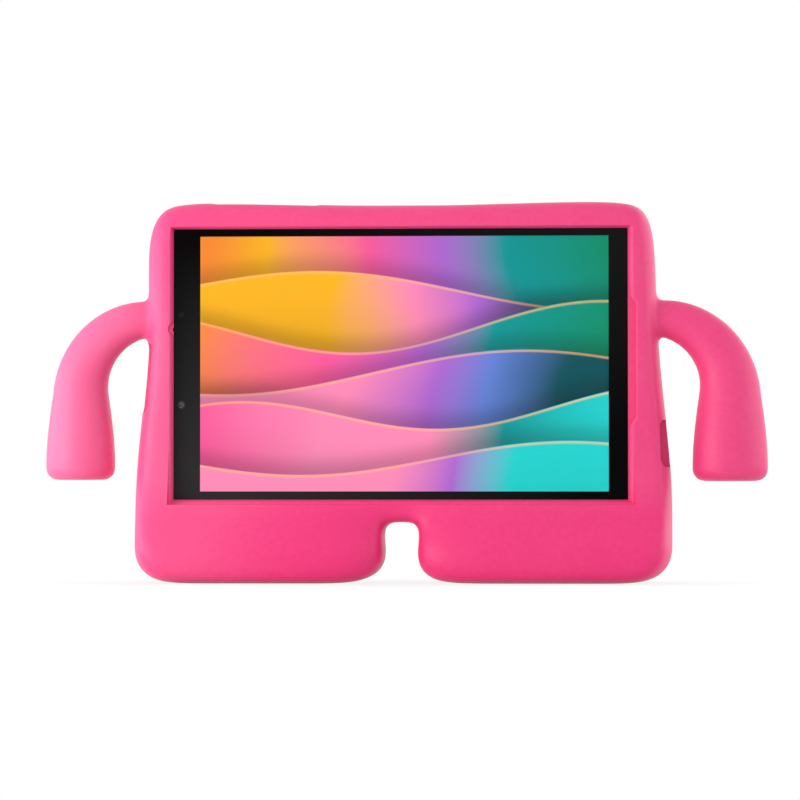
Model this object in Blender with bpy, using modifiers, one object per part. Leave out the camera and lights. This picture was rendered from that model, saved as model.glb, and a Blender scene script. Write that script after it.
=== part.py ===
"""A kids tablet case: one moulded foam body on two thick feet, with an arm at each side,
and the eight-inch tablet that is pressed into it.

Metres, +Z up. The screen faces -Y. The soles stand on Z = 0, centred on the origin.
The tablet's pieces hang on an empty at the middle of its glass, with depth along +Y.
"""

import math

import bmesh
import bpy
from mathutils import Matrix, Vector

# Clearances
FIT_GAP = 0.0003
STACK_GAP = 0.0001
SAME_PLACE = 0.00001

# Tablet: picture area, borders and layers from the glass back
DISPLAY_LENGTH = 0.1723
DISPLAY_WIDTH = 0.1077
BORDER_CAMERA_END = 0.01395
BORDER_PORT_END = 0.01275
BORDER_SIDES = 0.00705
GLASS_THICKNESS = 0.0008
GLASS_EDGE = 0.00027
DISPLAY_THICKNESS = 0.0015
PLATE_THICKNESS = 0.0008
INNER_ROOM = 0.0039
COVER_WALL = 0.0010
RIM_WALL = 0.0012
TABLET_CORNER_RADIUS = 0.0090
TABLET_BACK_EDGE = 0.0024
TABLET_FRONT_EDGE = 0.0006
DISPLAY_MARGIN = 0.0008

# Things at the tablet's ends and edges, from its middle height or from an end
FRONT_CAMERA_INSET = 0.0060
FRONT_CAMERA_HEIGHT = -0.0173
FRONT_CAMERA_SIDE = 0.0064
FRONT_CAMERA_DEPTH = 0.0040
LIGHT_SENSOR_HEIGHT = 0.0208
LIGHT_SENSOR_SIDE = 0.0026
LIGHT_SENSOR_DEPTH = 0.0014
JACK_HEIGHT = -0.0056
JACK_LENGTH = 0.0110
JACK_BLOCK = 0.0052
JACK_BORE = 0.0035
SOCKET_HEIGHT = -0.0321
SOCKET_LENGTH = 0.0075
SOCKET_WIDTH = 0.0090
SOCKET_THICKNESS = 0.0032
SOCKET_WALL = 0.0003
TONGUE_WIDTH = 0.0066
TONGUE_THICKNESS = 0.0007
REAR_CAMERA_INSET = 0.0135
REAR_CAMERA_DROP = 0.0134
REAR_CAMERA_SIDE = 0.0085
REAR_LENS_RADIUS = 0.0040
REAR_LENS_THICKNESS = 0.0010
REAR_LENS_PROUD = 0.0002
REAR_CAMERA_BODY = 0.0025
BARREL_RADIUS = 0.0030
SPEAKER_THICKNESS = 0.0034
SPEAKER_CORNER = 0.0008
SPEAKER_PORT_LENGTH = 0.0125
SPEAKER_PORT_HEIGHT = 0.0340
SPEAKER_PORT_MIDDLE = 0.0170
SPEAKER_CAMERA_LENGTH = 0.0092
SPEAKER_CAMERA_HEIGHT = 0.0150
SPEAKER_CAMERA_MIDDLE = 0.0115

# Buttons on the upper edge
POWER_FROM_END = 0.0275
POWER_LENGTH = 0.0115
VOLUME_FROM_END = 0.0495
VOLUME_LENGTH = 0.0225
BUTTON_THICKNESS = 0.0022
BUTTON_PROUD = 0.0006
BUTTON_LIP = 0.0006
BUTTON_CORNER = 0.0007
BUTTON_TRAVEL = 0.0003
BUTTON_DEPTH = 0.0050
KEY_BOARD_THICKNESS = 0.0008
KEY_BOARD_SPARE = 0.0030

# Boards, battery and ribbons
BOARD_THICKNESS = 0.0008
BOARD_INSET = 0.0150
BOARD_LENGTH = 0.0285
BOARD_EDGE_GAP = 0.0036
PORT_BOARD_LENGTH = 0.0200
PORT_BOARD_HEIGHT = 0.0400
BATTERY_SIDE_GAP = 0.0020
BATTERY_BOTTOM_GAP = 0.0050
BATTERY_TOP_GAP = 0.0070
BATTERY_EDGE = 0.0008
SHIELD_LENGTH = 0.0200
SHIELD_HEIGHT = 0.0300
SHIELD_THICKNESS = 0.0016
SHIELD_CORNER = 0.0008
SHIELD_MIDDLE = -0.0150
RIBBON_THICKNESS = 0.0002
RIBBON_LANDING = 0.0050
LINK_RIBBON_WIDTH = 0.0100
RIBBON_CLEARANCE = 0.0020
DISPLAY_RIBBON_WIDTH = 0.0180
DISPLAY_RIBBON_MIDDLE = 0.0220
LEAD_WIDTH = 0.0060
LEAD_MIDDLE = 0.0060
SCREW_HEAD_RADIUS = 0.0014
SCREW_HEAD_HEIGHT = 0.0007
SCREW_SHANK_RADIUS = 0.0007
SCREW_GRIP = 0.0005
SCREW_FROM_EDGE = 0.0026

# Foam walls round the tablet
SIDE_WALL = 0.0069
TOP_WALL = 0.0062
FLOOR_WALL = 0.0056
LIP_THICKNESS = 0.0047
BACK_THICKNESS = 0.0110
GLASS_FRONT = -0.0080

# Window in the front of the foam
LIP_OVER_CAMERA_END = 0.0028
LIP_OVER_PORT_END = 0.0047
LIP_OVER_TOP = 0.0040
LIP_OVER_BOTTOM = 0.0036
LIP_ROUND_CAMERA_END = 0.0018
LIP_ROUND_PORT_END = 0.0030
LIP_ROUND_TOP = 0.0012
LIP_ROUND_BOTTOM = 0.0022
RELIEF_HEIGHT = 0.0478
RELIEF_WIDTH = 0.0034
RELIEF_SLANT = 0.0042
RELIEF_FLOOR = 0.0018
RELIEF_MIDDLE = 0.0011
NOTCH_MIDDLE = 0.0124
NOTCH_RADIUS = 0.0040
NOTCH_INSET = 0.0023

# Openings through the foam walls
PORT_SLOT_HEIGHT = 0.0180
PORT_SLOT_DROP = 0.0016
JACK_SLOT_HEIGHT = 0.0275
SLOT_FORWARD = 0.0015
SLOT_FLARE = 0.0012
SLOT_CORNER = 0.0030
BUTTON_SLOT_SPARE = 0.0025
BUTTON_SLOT_WIDTH = 0.0068
CAMERA_HOLE_RADIUS = 0.0055
CAMERA_HOLE_FLARE = 0.0025

# Feet and the outline of the foam body
GAP_HEIGHT = 0.0257
GAP_HALF_WIDTH = 0.0071
GAP_CORNER = 0.0080
GAP_FRONT_ROUND = 0.0060
FOOT_DEPTH = 0.0560
FOOT_TOP = 0.0410
FOOT_FULL = 0.0140
FOOT_SPREAD = 0.0070
SPREAD_TOP = 0.1150
SPREAD_FULL = 0.0380
SOLE_ROUND = 0.0090
INNER_TOE = 0.0200
LEFT_TOE_PULL = 0.0072
RIGHT_TOE_PULL = 0.0048
LEFT_GAP_PULL = 0.0012
RIGHT_TOE_BULGE = 0.0012
OUTER_TOE_PULL = 0.0075
LEFT_FLAT_INSET = 0.0105
RIGHT_FLAT_INSET = 0.0085
SOLE_FLAT_OUTSET = 0.0160
FLANK_COLUMN = 0.0085
END_COLUMN = 0.0135
FLANK_ROUND = 0.0040
TOP_ROUND = 0.0026
TOP_CORNER = 0.0150
CORNER_PULL = 0.0039
CORNER_BUMPER = 0.0021
LEFT_CORNER_OUT = 0.0028
LEFT_CORNER_FULLNESS = 0.0008
RIGHT_CORNER_OUT = 0.0004
EDGE_SHARE = 0.32
WAIST_HEIGHT = 0.0620
CHEST_HEIGHT = 0.1040

# Arms
SHOULDER_HEIGHT = 0.1118
SHOULDER_RADIUS = 0.0075
SHOULDER_FLARE = 0.0016
SHOULDER_DEPTH = 0.0040
ARM_REACH = 0.1375
ELBOW_HEIGHT = 0.0800
ELBOW_RADIUS = 0.0124
HAND_HEIGHT = 0.0433
HAND_RADIUS = 0.0153
HAND_EDGE = 0.0050
ARM_FLATNESS = 0.92

# How much further out, thicker and lower the right arm is than the mean of the two
SIDE_REACH = 0.0004
SIDE_THICKNESS = 0.0006
SIDE_DROP = 0.0003

# Smoothness
BODY_SUBDIVISION = 2
CORNER_SEGMENTS = 5
EDGE_SEGMENTS = 3
ROUND_SIDES = 20
SMALL_ROUND_SIDES = 12
ARM_SIDES = 4
ARM_STEPS = 8
FOREARM_STEPS = 3
SHARP_ANGLE = math.radians(35)
STRAIGHT = 0.999
QUARTER_TURN = math.radians(90)
HALF_FACET = QUARTER_TURN / (2 * (ARM_SIDES + 1))

# Worked out from the above
TABLET_LENGTH = DISPLAY_LENGTH + BORDER_CAMERA_END + BORDER_PORT_END
TABLET_WIDTH = DISPLAY_WIDTH + 2 * BORDER_SIDES
DISPLAY_OFFSET = (BORDER_CAMERA_END - BORDER_PORT_END) / 2
GLASS_BACK = GLASS_THICKNESS
DISPLAY_FRONT = GLASS_BACK + STACK_GAP
DISPLAY_BACK = DISPLAY_FRONT + DISPLAY_THICKNESS
PLATE_FRONT = DISPLAY_BACK + STACK_GAP
PLATE_BACK = PLATE_FRONT + PLATE_THICKNESS
INSIDE_FRONT = PLATE_BACK + STACK_GAP
INSIDE_BACK = PLATE_BACK + INNER_ROOM
TABLET_THICKNESS = INSIDE_BACK + COVER_WALL
MID_DEPTH = TABLET_THICKNESS / 2
LEFT_END = -TABLET_LENGTH / 2
RIGHT_END = TABLET_LENGTH / 2
UPPER_EDGE = TABLET_WIDTH / 2
INSIDE_LEFT = LEFT_END + RIM_WALL
INSIDE_RIGHT = RIGHT_END - RIM_WALL
INSIDE_TOP = UPPER_EDGE - RIM_WALL
BOARD_LEFT = LEFT_END + BOARD_INSET
BOARD_RIGHT = BOARD_LEFT + BOARD_LENGTH
BOARD_BACK = INSIDE_FRONT + BOARD_THICKNESS
BOARD_BOTTOM = -INSIDE_TOP + BOARD_EDGE_GAP
BOARD_TOP = UPPER_EDGE - REAR_CAMERA_DROP - REAR_CAMERA_SIDE / 2 - BATTERY_SIDE_GAP
SOCKET_LEFT = INSIDE_RIGHT - STACK_GAP - SOCKET_LENGTH
PORT_BOARD_RIGHT = SOCKET_LEFT - FIT_GAP
PORT_BOARD_LEFT = PORT_BOARD_RIGHT - PORT_BOARD_LENGTH
BATTERY_LEFT = BOARD_RIGHT + BATTERY_SIDE_GAP
BATTERY_RIGHT = PORT_BOARD_LEFT - BATTERY_SIDE_GAP
BATTERY_BACK = INSIDE_BACK - 3 * RIBBON_THICKNESS
LINK_RIBBON_MIDDLE = SHIELD_MIDDLE - (SHIELD_HEIGHT + LINK_RIBBON_WIDTH) / 2 - RIBBON_CLEARANCE
PANEL_LEFT = DISPLAY_OFFSET - DISPLAY_LENGTH / 2 - DISPLAY_MARGIN
PANEL_RIGHT = DISPLAY_OFFSET + DISPLAY_LENGTH / 2 + DISPLAY_MARGIN
PANEL_TOP = DISPLAY_WIDTH / 2 + DISPLAY_MARGIN

POCKET_FLOOR = GAP_HEIGHT + FLOOR_WALL
TABLET_MIDDLE = POCKET_FLOOR + FIT_GAP + TABLET_WIDTH / 2
BODY_TOP = TABLET_MIDDLE + TABLET_WIDTH / 2 + FIT_GAP + TOP_WALL
BODY_HALF_WIDTH = TABLET_LENGTH / 2 + FIT_GAP + SIDE_WALL
POCKET_FRONT = GLASS_FRONT - FIT_GAP
TORSO_FRONT = POCKET_FRONT - LIP_THICKNESS
TORSO_BACK = GLASS_FRONT + TABLET_THICKNESS + FIT_GAP + BACK_THICKNESS
TORSO_MIDDLE = (TORSO_FRONT + TORSO_BACK) / 2
WINDOW_LEFT = LEFT_END + LIP_OVER_CAMERA_END
WINDOW_RIGHT = RIGHT_END - LIP_OVER_PORT_END
WINDOW_TOP = UPPER_EDGE - LIP_OVER_TOP
WINDOW_BOTTOM = LIP_OVER_BOTTOM - UPPER_EDGE
CUT_BEYOND = FOOT_DEPTH

# Colours and finishes
PINK_FOAM = (0.8714, 0.0612, 0.2232)
GLASS_BLACK = (0.010, 0.011, 0.011)
PICTURE = (0.55, 0.30, 0.45)
PLATE_GREY = (0.32, 0.33, 0.34)
SHELL_GREY = (0.060, 0.062, 0.066)
KEY_GREY = (0.045, 0.046, 0.050)
KEY_BOARD_GREEN = (0.030, 0.085, 0.045)
BOARD_GREEN = (0.010, 0.060, 0.040)
BRIGHT_METAL = (0.60, 0.60, 0.60)
SOCKET_METAL = (0.55, 0.55, 0.56)
SCREW_METAL = (0.45, 0.45, 0.46)
RIBBON_AMBER = (0.50, 0.22, 0.04)
NEAR_BLACK = (0.020, 0.020, 0.022)
LENS_BLACK = (0.008, 0.008, 0.010)
GLOSS = 0.06
SATIN = 0.4
MATT = 0.55


def make_collection(name):
    """A new collection in the scene."""
    collection = bpy.data.collections.new(name)
    bpy.context.scene.collection.children.link(collection)
    return collection


def clear_scene():
    """Removes the objects that the scene started with."""
    for obj in list(bpy.data.objects):
        bpy.data.objects.remove(obj, do_unlink=True)


def paint(obj, colour, roughness, metallic=0.0):
    """Gives an object a Principled material of its own."""
    material = bpy.data.materials.new(obj.name)
    material.use_nodes = True
    shader = material.node_tree.nodes["Principled BSDF"]
    shader.inputs["Base Color"].default_value = (*colour, 1.0)
    shader.inputs["Roughness"].default_value = roughness
    shader.inputs["Metallic"].default_value = metallic
    obj.data.materials.clear()
    obj.data.materials.append(material)


def add_object(name, bm, collection, parent=None, location=(0, 0, 0)):
    """Turns a bmesh into an object in a collection."""
    bmesh.ops.recalc_face_normals(bm, faces=bm.faces)
    mesh = bpy.data.meshes.new(name)
    bm.to_mesh(mesh)
    bm.free()
    mesh.shade_smooth()
    mesh.set_sharp_from_angle(angle=SHARP_ANGLE)
    obj = bpy.data.objects.new(name, mesh)
    obj.location = location
    obj.parent = parent
    collection.objects.link(obj)
    return obj


def round_edges(bm, edges, radius, segments):
    """Bevels some edges to a round."""
    bmesh.ops.bevel(
        bm,
        geom=list(edges),
        offset=radius,
        offset_type="OFFSET",
        segments=segments,
        profile=0.5,
        affect="EDGES",
        material=-1,
    )


def edges_along(bm, axis):
    """The straight edges of a box that run along one axis."""
    found = []
    for edge in bm.edges:
        run = (edge.verts[1].co - edge.verts[0].co).normalized()
        if abs(run[axis]) > STRAIGHT:
            found.append(edge)
    return found


def rim_edges(bm, axis, place):
    """The edges that lie in a plane across one axis."""
    return [
        edge
        for edge in bm.edges
        if all(abs(vert.co[axis] - place) < SAME_PLACE for vert in edge.verts)
    ]


def box_bmesh(low, high):
    """A box between two opposite corners."""
    bm = bmesh.new()
    low, high = Vector(low), Vector(high)
    bmesh.ops.create_cube(bm, size=1.0)
    bmesh.ops.scale(bm, vec=high - low, verts=bm.verts)
    bmesh.ops.translate(bm, vec=(low + high) / 2, verts=bm.verts)
    return bm


def plate_bmesh(low, high, corner=0.0, front_edge=0.0, back_edge=0.0):
    """A plate that faces -Y, with round corners and, if asked, round front and back rims."""
    bm = box_bmesh(low, high)
    if corner:
        round_edges(bm, edges_along(bm, 1), corner, CORNER_SEGMENTS)
    if front_edge:
        round_edges(bm, rim_edges(bm, 1, low[1]), front_edge, EDGE_SEGMENTS - 1)
    if back_edge:
        round_edges(bm, rim_edges(bm, 1, high[1]), back_edge, EDGE_SEGMENTS)
    return bm


def cylinder_bmesh(radius, depth, sides, end_radius=None):
    """A cylinder or cone along +Y from the origin."""
    bm = bmesh.new()
    bmesh.ops.create_cone(
        bm,
        cap_ends=True,
        segments=sides,
        radius1=radius,
        radius2=radius if end_radius is None else end_radius,
        depth=depth,
    )
    bmesh.ops.translate(bm, vec=(0, 0, depth / 2), verts=bm.verts)
    bmesh.ops.rotate(bm, matrix=Matrix.Rotation(-QUARTER_TURN, 3, "X"), verts=bm.verts)
    return bm


def flared_bmesh(low, high, axis, outward, corner, flare):
    """A box with rounded edges along one axis, and an outer end that is wider all round."""
    bm = box_bmesh(low, high)
    round_edges(bm, edges_along(bm, axis), corner, EDGE_SEGMENTS)
    middle = (Vector(low) + Vector(high)) / 2
    outer = high[axis] if outward > 0 else low[axis]
    for vert in bm.verts:
        if abs(vert.co[axis] - outer) < SAME_PLACE:
            for side in {0, 1, 2} - {axis}:
                vert.co[side] += math.copysign(flare, vert.co[side] - middle[side])
    return bm


def cutter(name, bm, parent=None, location=(0, 0, 0)):
    """A helper that only cuts others."""
    obj = add_object(name, bm, bpy.data.collections["cutters"], parent, location)
    obj.hide_render = True
    obj.display_type = "WIRE"
    return obj


def boolean(obj, other, operation="DIFFERENCE"):
    """Adds an exact Boolean to an object."""
    modifier = obj.modifiers.new(other.name, "BOOLEAN")
    modifier.operation = operation
    modifier.solver = "EXACT"
    modifier.object = other


def ease(share):
    """0 below 0, 1 above 1, and a smooth step between."""
    share = min(max(share, 0.0), 1.0)
    return share * share * (3 - 2 * share)


def foot_share(height):
    """How far the section has swollen from the torso to the foot."""
    return ease((FOOT_TOP - height) / (FOOT_TOP - FOOT_FULL))


def half_width(height):
    """Half the body's width at a height."""
    spread = ease((SPREAD_TOP - height) / (SPREAD_TOP - SPREAD_FULL))
    return BODY_HALF_WIDTH + FOOT_SPREAD * spread


CAGE_ROWS = (
    0.0,
    SOLE_ROUND,
    GAP_HEIGHT - GAP_CORNER,
    GAP_HEIGHT,
    FOOT_TOP,
    WAIST_HEIGHT,
    CHEST_HEIGHT,
    BODY_TOP - TOP_CORNER,
    BODY_TOP,
)
LEFT_SOLE_SHIFTS = (0.0, LEFT_TOE_PULL, LEFT_FLAT_INSET, -SOLE_FLAT_OUTSET, -OUTER_TOE_PULL)
RIGHT_SOLE_SHIFTS = (0.0, RIGHT_TOE_PULL, RIGHT_FLAT_INSET, -SOLE_FLAT_OUTSET, -OUTER_TOE_PULL)
CAGE_COLUMNS = 4
CAGE_LAYERS = 3
GAP_ROW = 3
LAST_ROW = len(CAGE_ROWS) - 1


def cage_point(column, row, layer):
    """The place of a cage corner: its column out from the middle, its row up, its layer back."""
    side = -1 if column < 0 else 1
    column = abs(column)
    height = CAGE_ROWS[row]
    flank = half_width(height)
    across = (
        0.0,
        GAP_HALF_WIDTH,
        GAP_HALF_WIDTH + INNER_TOE,
        flank - (END_COLUMN if row in (0, LAST_ROW) else FLANK_COLUMN),
        flank,
    )[column]
    share = foot_share(height)
    front = TORSO_FRONT + (-FOOT_DEPTH / 2 - TORSO_FRONT) * share
    back = TORSO_BACK + (FOOT_DEPTH / 2 - TORSO_BACK) * share
    round_in = EDGE_SHARE * (back - front)
    depth = (front, front + round_in, back - round_in, back)[layer]
    outer_layer = layer in (0, CAGE_LAYERS)
    if column <= 1 and row <= GAP_ROW and outer_layer:
        depth += GAP_FRONT_ROUND if layer == 0 else -GAP_FRONT_ROUND
    if column == CAGE_COLUMNS and outer_layer:
        across -= FLANK_ROUND
    if row == LAST_ROW and outer_layer:
        height -= TOP_ROUND
    if row == LAST_ROW and column == CAGE_COLUMNS - 1:
        height += CORNER_BUMPER
    if row == LAST_ROW and column == CAGE_COLUMNS:
        across -= CORNER_PULL
        height -= CORNER_PULL - CORNER_BUMPER
    if row == LAST_ROW and column == CAGE_COLUMNS and side < 0:
        across += LEFT_CORNER_FULLNESS
    if row == LAST_ROW - 1 and column == CAGE_COLUMNS:
        across += LEFT_CORNER_OUT if side < 0 else RIGHT_CORNER_OUT
    if row in (GAP_ROW - 1, GAP_ROW) and column == 1 and side < 0:
        across += LEFT_GAP_PULL
    if row == 1 and column == 1 and side > 0:
        across -= RIGHT_TOE_BULGE
    if row == 0:
        across += (LEFT_SOLE_SHIFTS if side < 0 else RIGHT_SOLE_SHIFTS)[column]
    return Vector((side * across, depth, height))


def body_cage():
    """The torso and its two feet as a coarse closed cage."""
    bm = bmesh.new()
    bmesh.ops.create_grid(bm, x_segments=2 * CAGE_COLUMNS, y_segments=LAST_ROW, size=0.5)
    bmesh.ops.translate(bm, vec=(0, 0.5, 0), verts=bm.verts)
    bmesh.ops.scale(bm, vec=(2 * CAGE_COLUMNS, LAST_ROW, 1), verts=bm.verts)
    between_feet = [
        face
        for face in bm.faces
        if abs(face.calc_center_median().x) < 1
        and face.calc_center_median().y < GAP_ROW
    ]
    bmesh.ops.delete(bm, geom=between_feet, context="FACES")
    sheet = list(bm.faces)
    for layer in range(CAGE_LAYERS):
        made = bmesh.ops.extrude_face_region(bm, geom=sheet, use_keep_orig=layer == 0)
        moved = [item for item in made["geom"] if isinstance(item, bmesh.types.BMVert)]
        bmesh.ops.translate(bm, vec=(0, 0, 1), verts=moved)
        if layer:
            bmesh.ops.delete(bm, geom=sheet, context="FACES")
        sheet = [item for item in made["geom"] if isinstance(item, bmesh.types.BMFace)]
    for vert in bm.verts:
        vert.co = cage_point(*(round(value) for value in vert.co))
    bmesh.ops.recalc_face_normals(bm, faces=bm.faces)
    return bm


def arm_stations(side):
    """Points down one arm's middle line, each with its radius, as if it were the right arm."""
    root = half_width(SHOULDER_HEIGHT)
    reach = ARM_REACH + side * SIDE_REACH
    elbow_radius = ELBOW_RADIUS + side * SIDE_THICKNESS
    hand_radius = HAND_RADIUS + side * SIDE_THICKNESS
    hand_height = HAND_HEIGHT - side * SIDE_DROP
    yield root - SHOULDER_DEPTH, SHOULDER_HEIGHT, SHOULDER_RADIUS + SHOULDER_FLARE
    for step in range(ARM_STEPS + 1):
        share = step / ARM_STEPS
        angle = QUARTER_TURN * share
        out = root + (reach - root) * math.sin(angle)
        height = ELBOW_HEIGHT + (SHOULDER_HEIGHT - ELBOW_HEIGHT) * math.cos(angle)
        yield out, height, SHOULDER_RADIUS + (elbow_radius - SHOULDER_RADIUS) * share
    rim_top = hand_height + HAND_EDGE
    for step in range(1, FOREARM_STEPS + 1):
        share = step / FOREARM_STEPS
        height = ELBOW_HEIGHT + (rim_top - ELBOW_HEIGHT) * share
        swell = math.sin(QUARTER_TURN * share)
        yield reach, height, elbow_radius + (hand_radius - elbow_radius) * swell
    for step in range(1, EDGE_SEGMENTS + 1):
        angle = QUARTER_TURN * step / EDGE_SEGMENTS
        height = rim_top - HAND_EDGE * math.sin(angle)
        yield reach, height, hand_radius - HAND_EDGE * (1 - math.cos(angle))


def arm_curve(side):
    """One arm, drawn at the right, as a bevelled curve turned half a facet."""
    curve = bpy.data.curves.new("arm_line", "CURVE")
    curve.dimensions = "3D"
    curve.bevel_depth = 1.0
    curve.bevel_resolution = ARM_SIDES
    curve.use_fill_caps = True
    stations = list(arm_stations(side))
    spline = curve.splines.new("POLY")
    spline.points.add(len(stations) - 1)
    for point, (x, z, radius) in zip(spline.points, stations):
        point.co = (x, 0, z, 1)
        point.radius = radius
        point.tilt = HALF_FACET
    return curve


def arm_bmesh(side):
    """One arm as a closed mesh."""
    curve_object = bpy.data.objects.new("arm_line", arm_curve(side))
    bpy.context.scene.collection.objects.link(curve_object)
    graph = bpy.context.evaluated_depsgraph_get()
    mesh = bpy.data.meshes.new_from_object(curve_object.evaluated_get(graph))
    bpy.data.objects.remove(curve_object, do_unlink=True)
    bm = bmesh.new()
    bm.from_mesh(mesh)
    bpy.data.meshes.remove(mesh)
    bmesh.ops.remove_doubles(bm, verts=bm.verts, dist=SAME_PLACE)
    bmesh.ops.scale(bm, vec=(side, ARM_FLATNESS, 1), verts=bm.verts)
    bmesh.ops.translate(bm, vec=(0, TORSO_MIDDLE, 0), verts=bm.verts)
    return bm


def window_bmesh():
    """The window's cutter: straight at the glass, then opening in a round lip."""
    inner = POCKET_FRONT + RIM_WALL
    bm = box_bmesh(
        (WINDOW_LEFT, POCKET_FRONT, WINDOW_BOTTOM),
        (WINDOW_RIGHT, inner, WINDOW_TOP),
    )
    steps = EDGE_SEGMENTS + 1
    depth, wider = 0.0, 0.0
    for step in range(1, steps + 1):
        angle = QUARTER_TURN * step / steps
        next_depth = LIP_THICKNESS * math.sin(angle)
        next_wider = 1 - math.cos(angle)
        grow_front(bm, next_depth - depth, next_wider - wider)
        depth, wider = next_depth, next_wider
    grow_front(bm, CUT_BEYOND, 0.0)
    return bm


def grow_front(bm, forward, wider):
    """Extrudes the face that looks to -Y forwards, and widens it by a share of the lip's round."""
    front = min(bm.faces, key=lambda face: face.calc_center_median().y)
    made = bmesh.ops.extrude_face_region(bm, geom=[front])
    if front.is_valid:
        bmesh.ops.delete(bm, geom=[front], context="FACES_ONLY")
    for item in made["geom"]:
        if isinstance(item, bmesh.types.BMVert):
            item.co.y -= forward
            item.co.x += wider * (LIP_ROUND_PORT_END if item.co.x > 0 else -LIP_ROUND_CAMERA_END)
            item.co.z += wider * (LIP_ROUND_TOP if item.co.z > 0 else -LIP_ROUND_BOTTOM)


def relief_bmesh():
    """The long finger relief in the lip at the port end, with slanted ends."""
    bm = box_bmesh(
        (WINDOW_RIGHT - RELIEF_WIDTH, POCKET_FRONT - CUT_BEYOND, -RELIEF_HEIGHT / 2),
        (WINDOW_RIGHT + RELIEF_WIDTH, POCKET_FRONT - RELIEF_FLOOR, RELIEF_HEIGHT / 2),
    )
    for vert in bm.verts:
        if vert.co.x < WINDOW_RIGHT:
            vert.co.z += math.copysign(2 * RELIEF_SLANT, vert.co.z)
    return bm


def foam_cutters():
    """Everything that is cut out of the moulded body."""
    at_tablet = (0, 0, TABLET_MIDDLE)
    pocket = plate_bmesh(
        (LEFT_END - FIT_GAP, POCKET_FRONT, -UPPER_EDGE - FIT_GAP),
        (RIGHT_END + FIT_GAP, GLASS_FRONT + TABLET_THICKNESS + FIT_GAP, UPPER_EDGE + FIT_GAP),
        TABLET_CORNER_RADIUS,
        0.0,
        TABLET_BACK_EDGE,
    )
    yield cutter("pocket_cutter", pocket, location=at_tablet)
    yield cutter("window_cutter", window_bmesh(), location=at_tablet)
    relief_at = (0, 0, TABLET_MIDDLE + RELIEF_MIDDLE)
    yield cutter("relief_cutter", relief_bmesh(), location=relief_at)
    notch = bmesh.new()
    bmesh.ops.create_uvsphere(
        notch, u_segments=SMALL_ROUND_SIDES, v_segments=SMALL_ROUND_SIDES // 2, radius=NOTCH_RADIUS
    )
    notch_at = (
        WINDOW_LEFT + NOTCH_INSET,
        POCKET_FRONT - LIP_THICKNESS / 2,
        TABLET_MIDDLE + NOTCH_MIDDLE,
    )
    yield cutter("notch_cutter", notch, location=notch_at)
    slot_front = GLASS_FRONT + FIT_GAP - SLOT_FORWARD
    slot_back = GLASS_FRONT + TABLET_THICKNESS - FIT_GAP
    port_middle = TABLET_MIDDLE + SOCKET_HEIGHT - PORT_SLOT_DROP
    port_low = port_middle - PORT_SLOT_HEIGHT / 2
    jack_low = TABLET_MIDDLE + JACK_HEIGHT - JACK_SLOT_HEIGHT / 2
    port_slot = flared_bmesh(
        (RIGHT_END - RIM_WALL, slot_front, -PORT_SLOT_HEIGHT / 2),
        (half_width(port_low) + FIT_GAP, slot_back, PORT_SLOT_HEIGHT / 2),
        0,
        1,
        SLOT_CORNER,
        SLOT_FLARE,
    )
    yield cutter("port_slot_cutter", port_slot, location=(0, 0, port_middle))
    jack_slot = flared_bmesh(
        (-half_width(jack_low) - FIT_GAP, slot_front, -JACK_SLOT_HEIGHT / 2),
        (LEFT_END + RIM_WALL, slot_back, JACK_SLOT_HEIGHT / 2),
        0,
        -1,
        SLOT_CORNER,
        SLOT_FLARE,
    )
    jack_at = (0, 0, TABLET_MIDDLE + JACK_HEIGHT)
    yield cutter("jack_slot_cutter", jack_slot, location=jack_at)
    slot_left = LEFT_END + POWER_FROM_END - POWER_LENGTH / 2 - BUTTON_SLOT_SPARE
    slot_right = LEFT_END + VOLUME_FROM_END + VOLUME_LENGTH / 2 + BUTTON_SLOT_SPARE
    button_middle = GLASS_FRONT + BUTTON_DEPTH
    button_slot = flared_bmesh(
        (slot_left, button_middle - BUTTON_SLOT_WIDTH / 2, UPPER_EDGE - RIM_WALL),
        (slot_right, button_middle + BUTTON_SLOT_WIDTH / 2, UPPER_EDGE + TOP_WALL + CORNER_BUMPER),
        2,
        1,
        SLOT_CORNER,
        SLOT_FLARE,
    )
    yield cutter("button_slot_cutter", button_slot, location=at_tablet)
    hole = cylinder_bmesh(
        CAMERA_HOLE_RADIUS,
        RIM_WALL + BACK_THICKNESS,
        ROUND_SIDES,
        CAMERA_HOLE_RADIUS + CAMERA_HOLE_FLARE,
    )
    hole_at = (
        LEFT_END + REAR_CAMERA_INSET,
        TORSO_BACK + STACK_GAP - RIM_WALL - BACK_THICKNESS,
        TABLET_MIDDLE + UPPER_EDGE - REAR_CAMERA_DROP,
    )
    yield cutter("camera_hole_cutter", hole, location=hole_at)


def make_foam(parts):
    """The moulded case: torso, feet and arms in one piece, with its pocket and openings."""
    foam = add_object("foam_case", body_cage(), parts)
    smooth = foam.modifiers.new("smooth", "SUBSURF")
    smooth.levels = BODY_SUBDIVISION
    smooth.render_levels = BODY_SUBDIVISION
    boolean(foam, cutter("arm_right", arm_bmesh(1)), "UNION")
    boolean(foam, cutter("arm_left", arm_bmesh(-1)), "UNION")
    for tool in foam_cutters():
        boolean(foam, tool)
    paint(foam, PINK_FOAM, MATT)


def make_screen(parts, tablet):
    """The cover glass and the display under it."""
    glass = add_object(
        "cover_glass",
        plate_bmesh(
            (INSIDE_LEFT + STACK_GAP, 0, -INSIDE_TOP + STACK_GAP),
            (INSIDE_RIGHT - STACK_GAP, GLASS_THICKNESS, INSIDE_TOP - STACK_GAP),
            TABLET_CORNER_RADIUS - RIM_WALL,
            GLASS_EDGE,
        ),
        parts,
        tablet,
    )
    paint(glass, GLASS_BLACK, GLOSS)
    panel = add_object(
        "display_panel",
        plate_bmesh(
            (PANEL_LEFT, DISPLAY_FRONT, -PANEL_TOP), (PANEL_RIGHT, DISPLAY_BACK, PANEL_TOP)
        ),
        parts,
        tablet,
    )
    paint(panel, PICTURE, SATIN)


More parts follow.
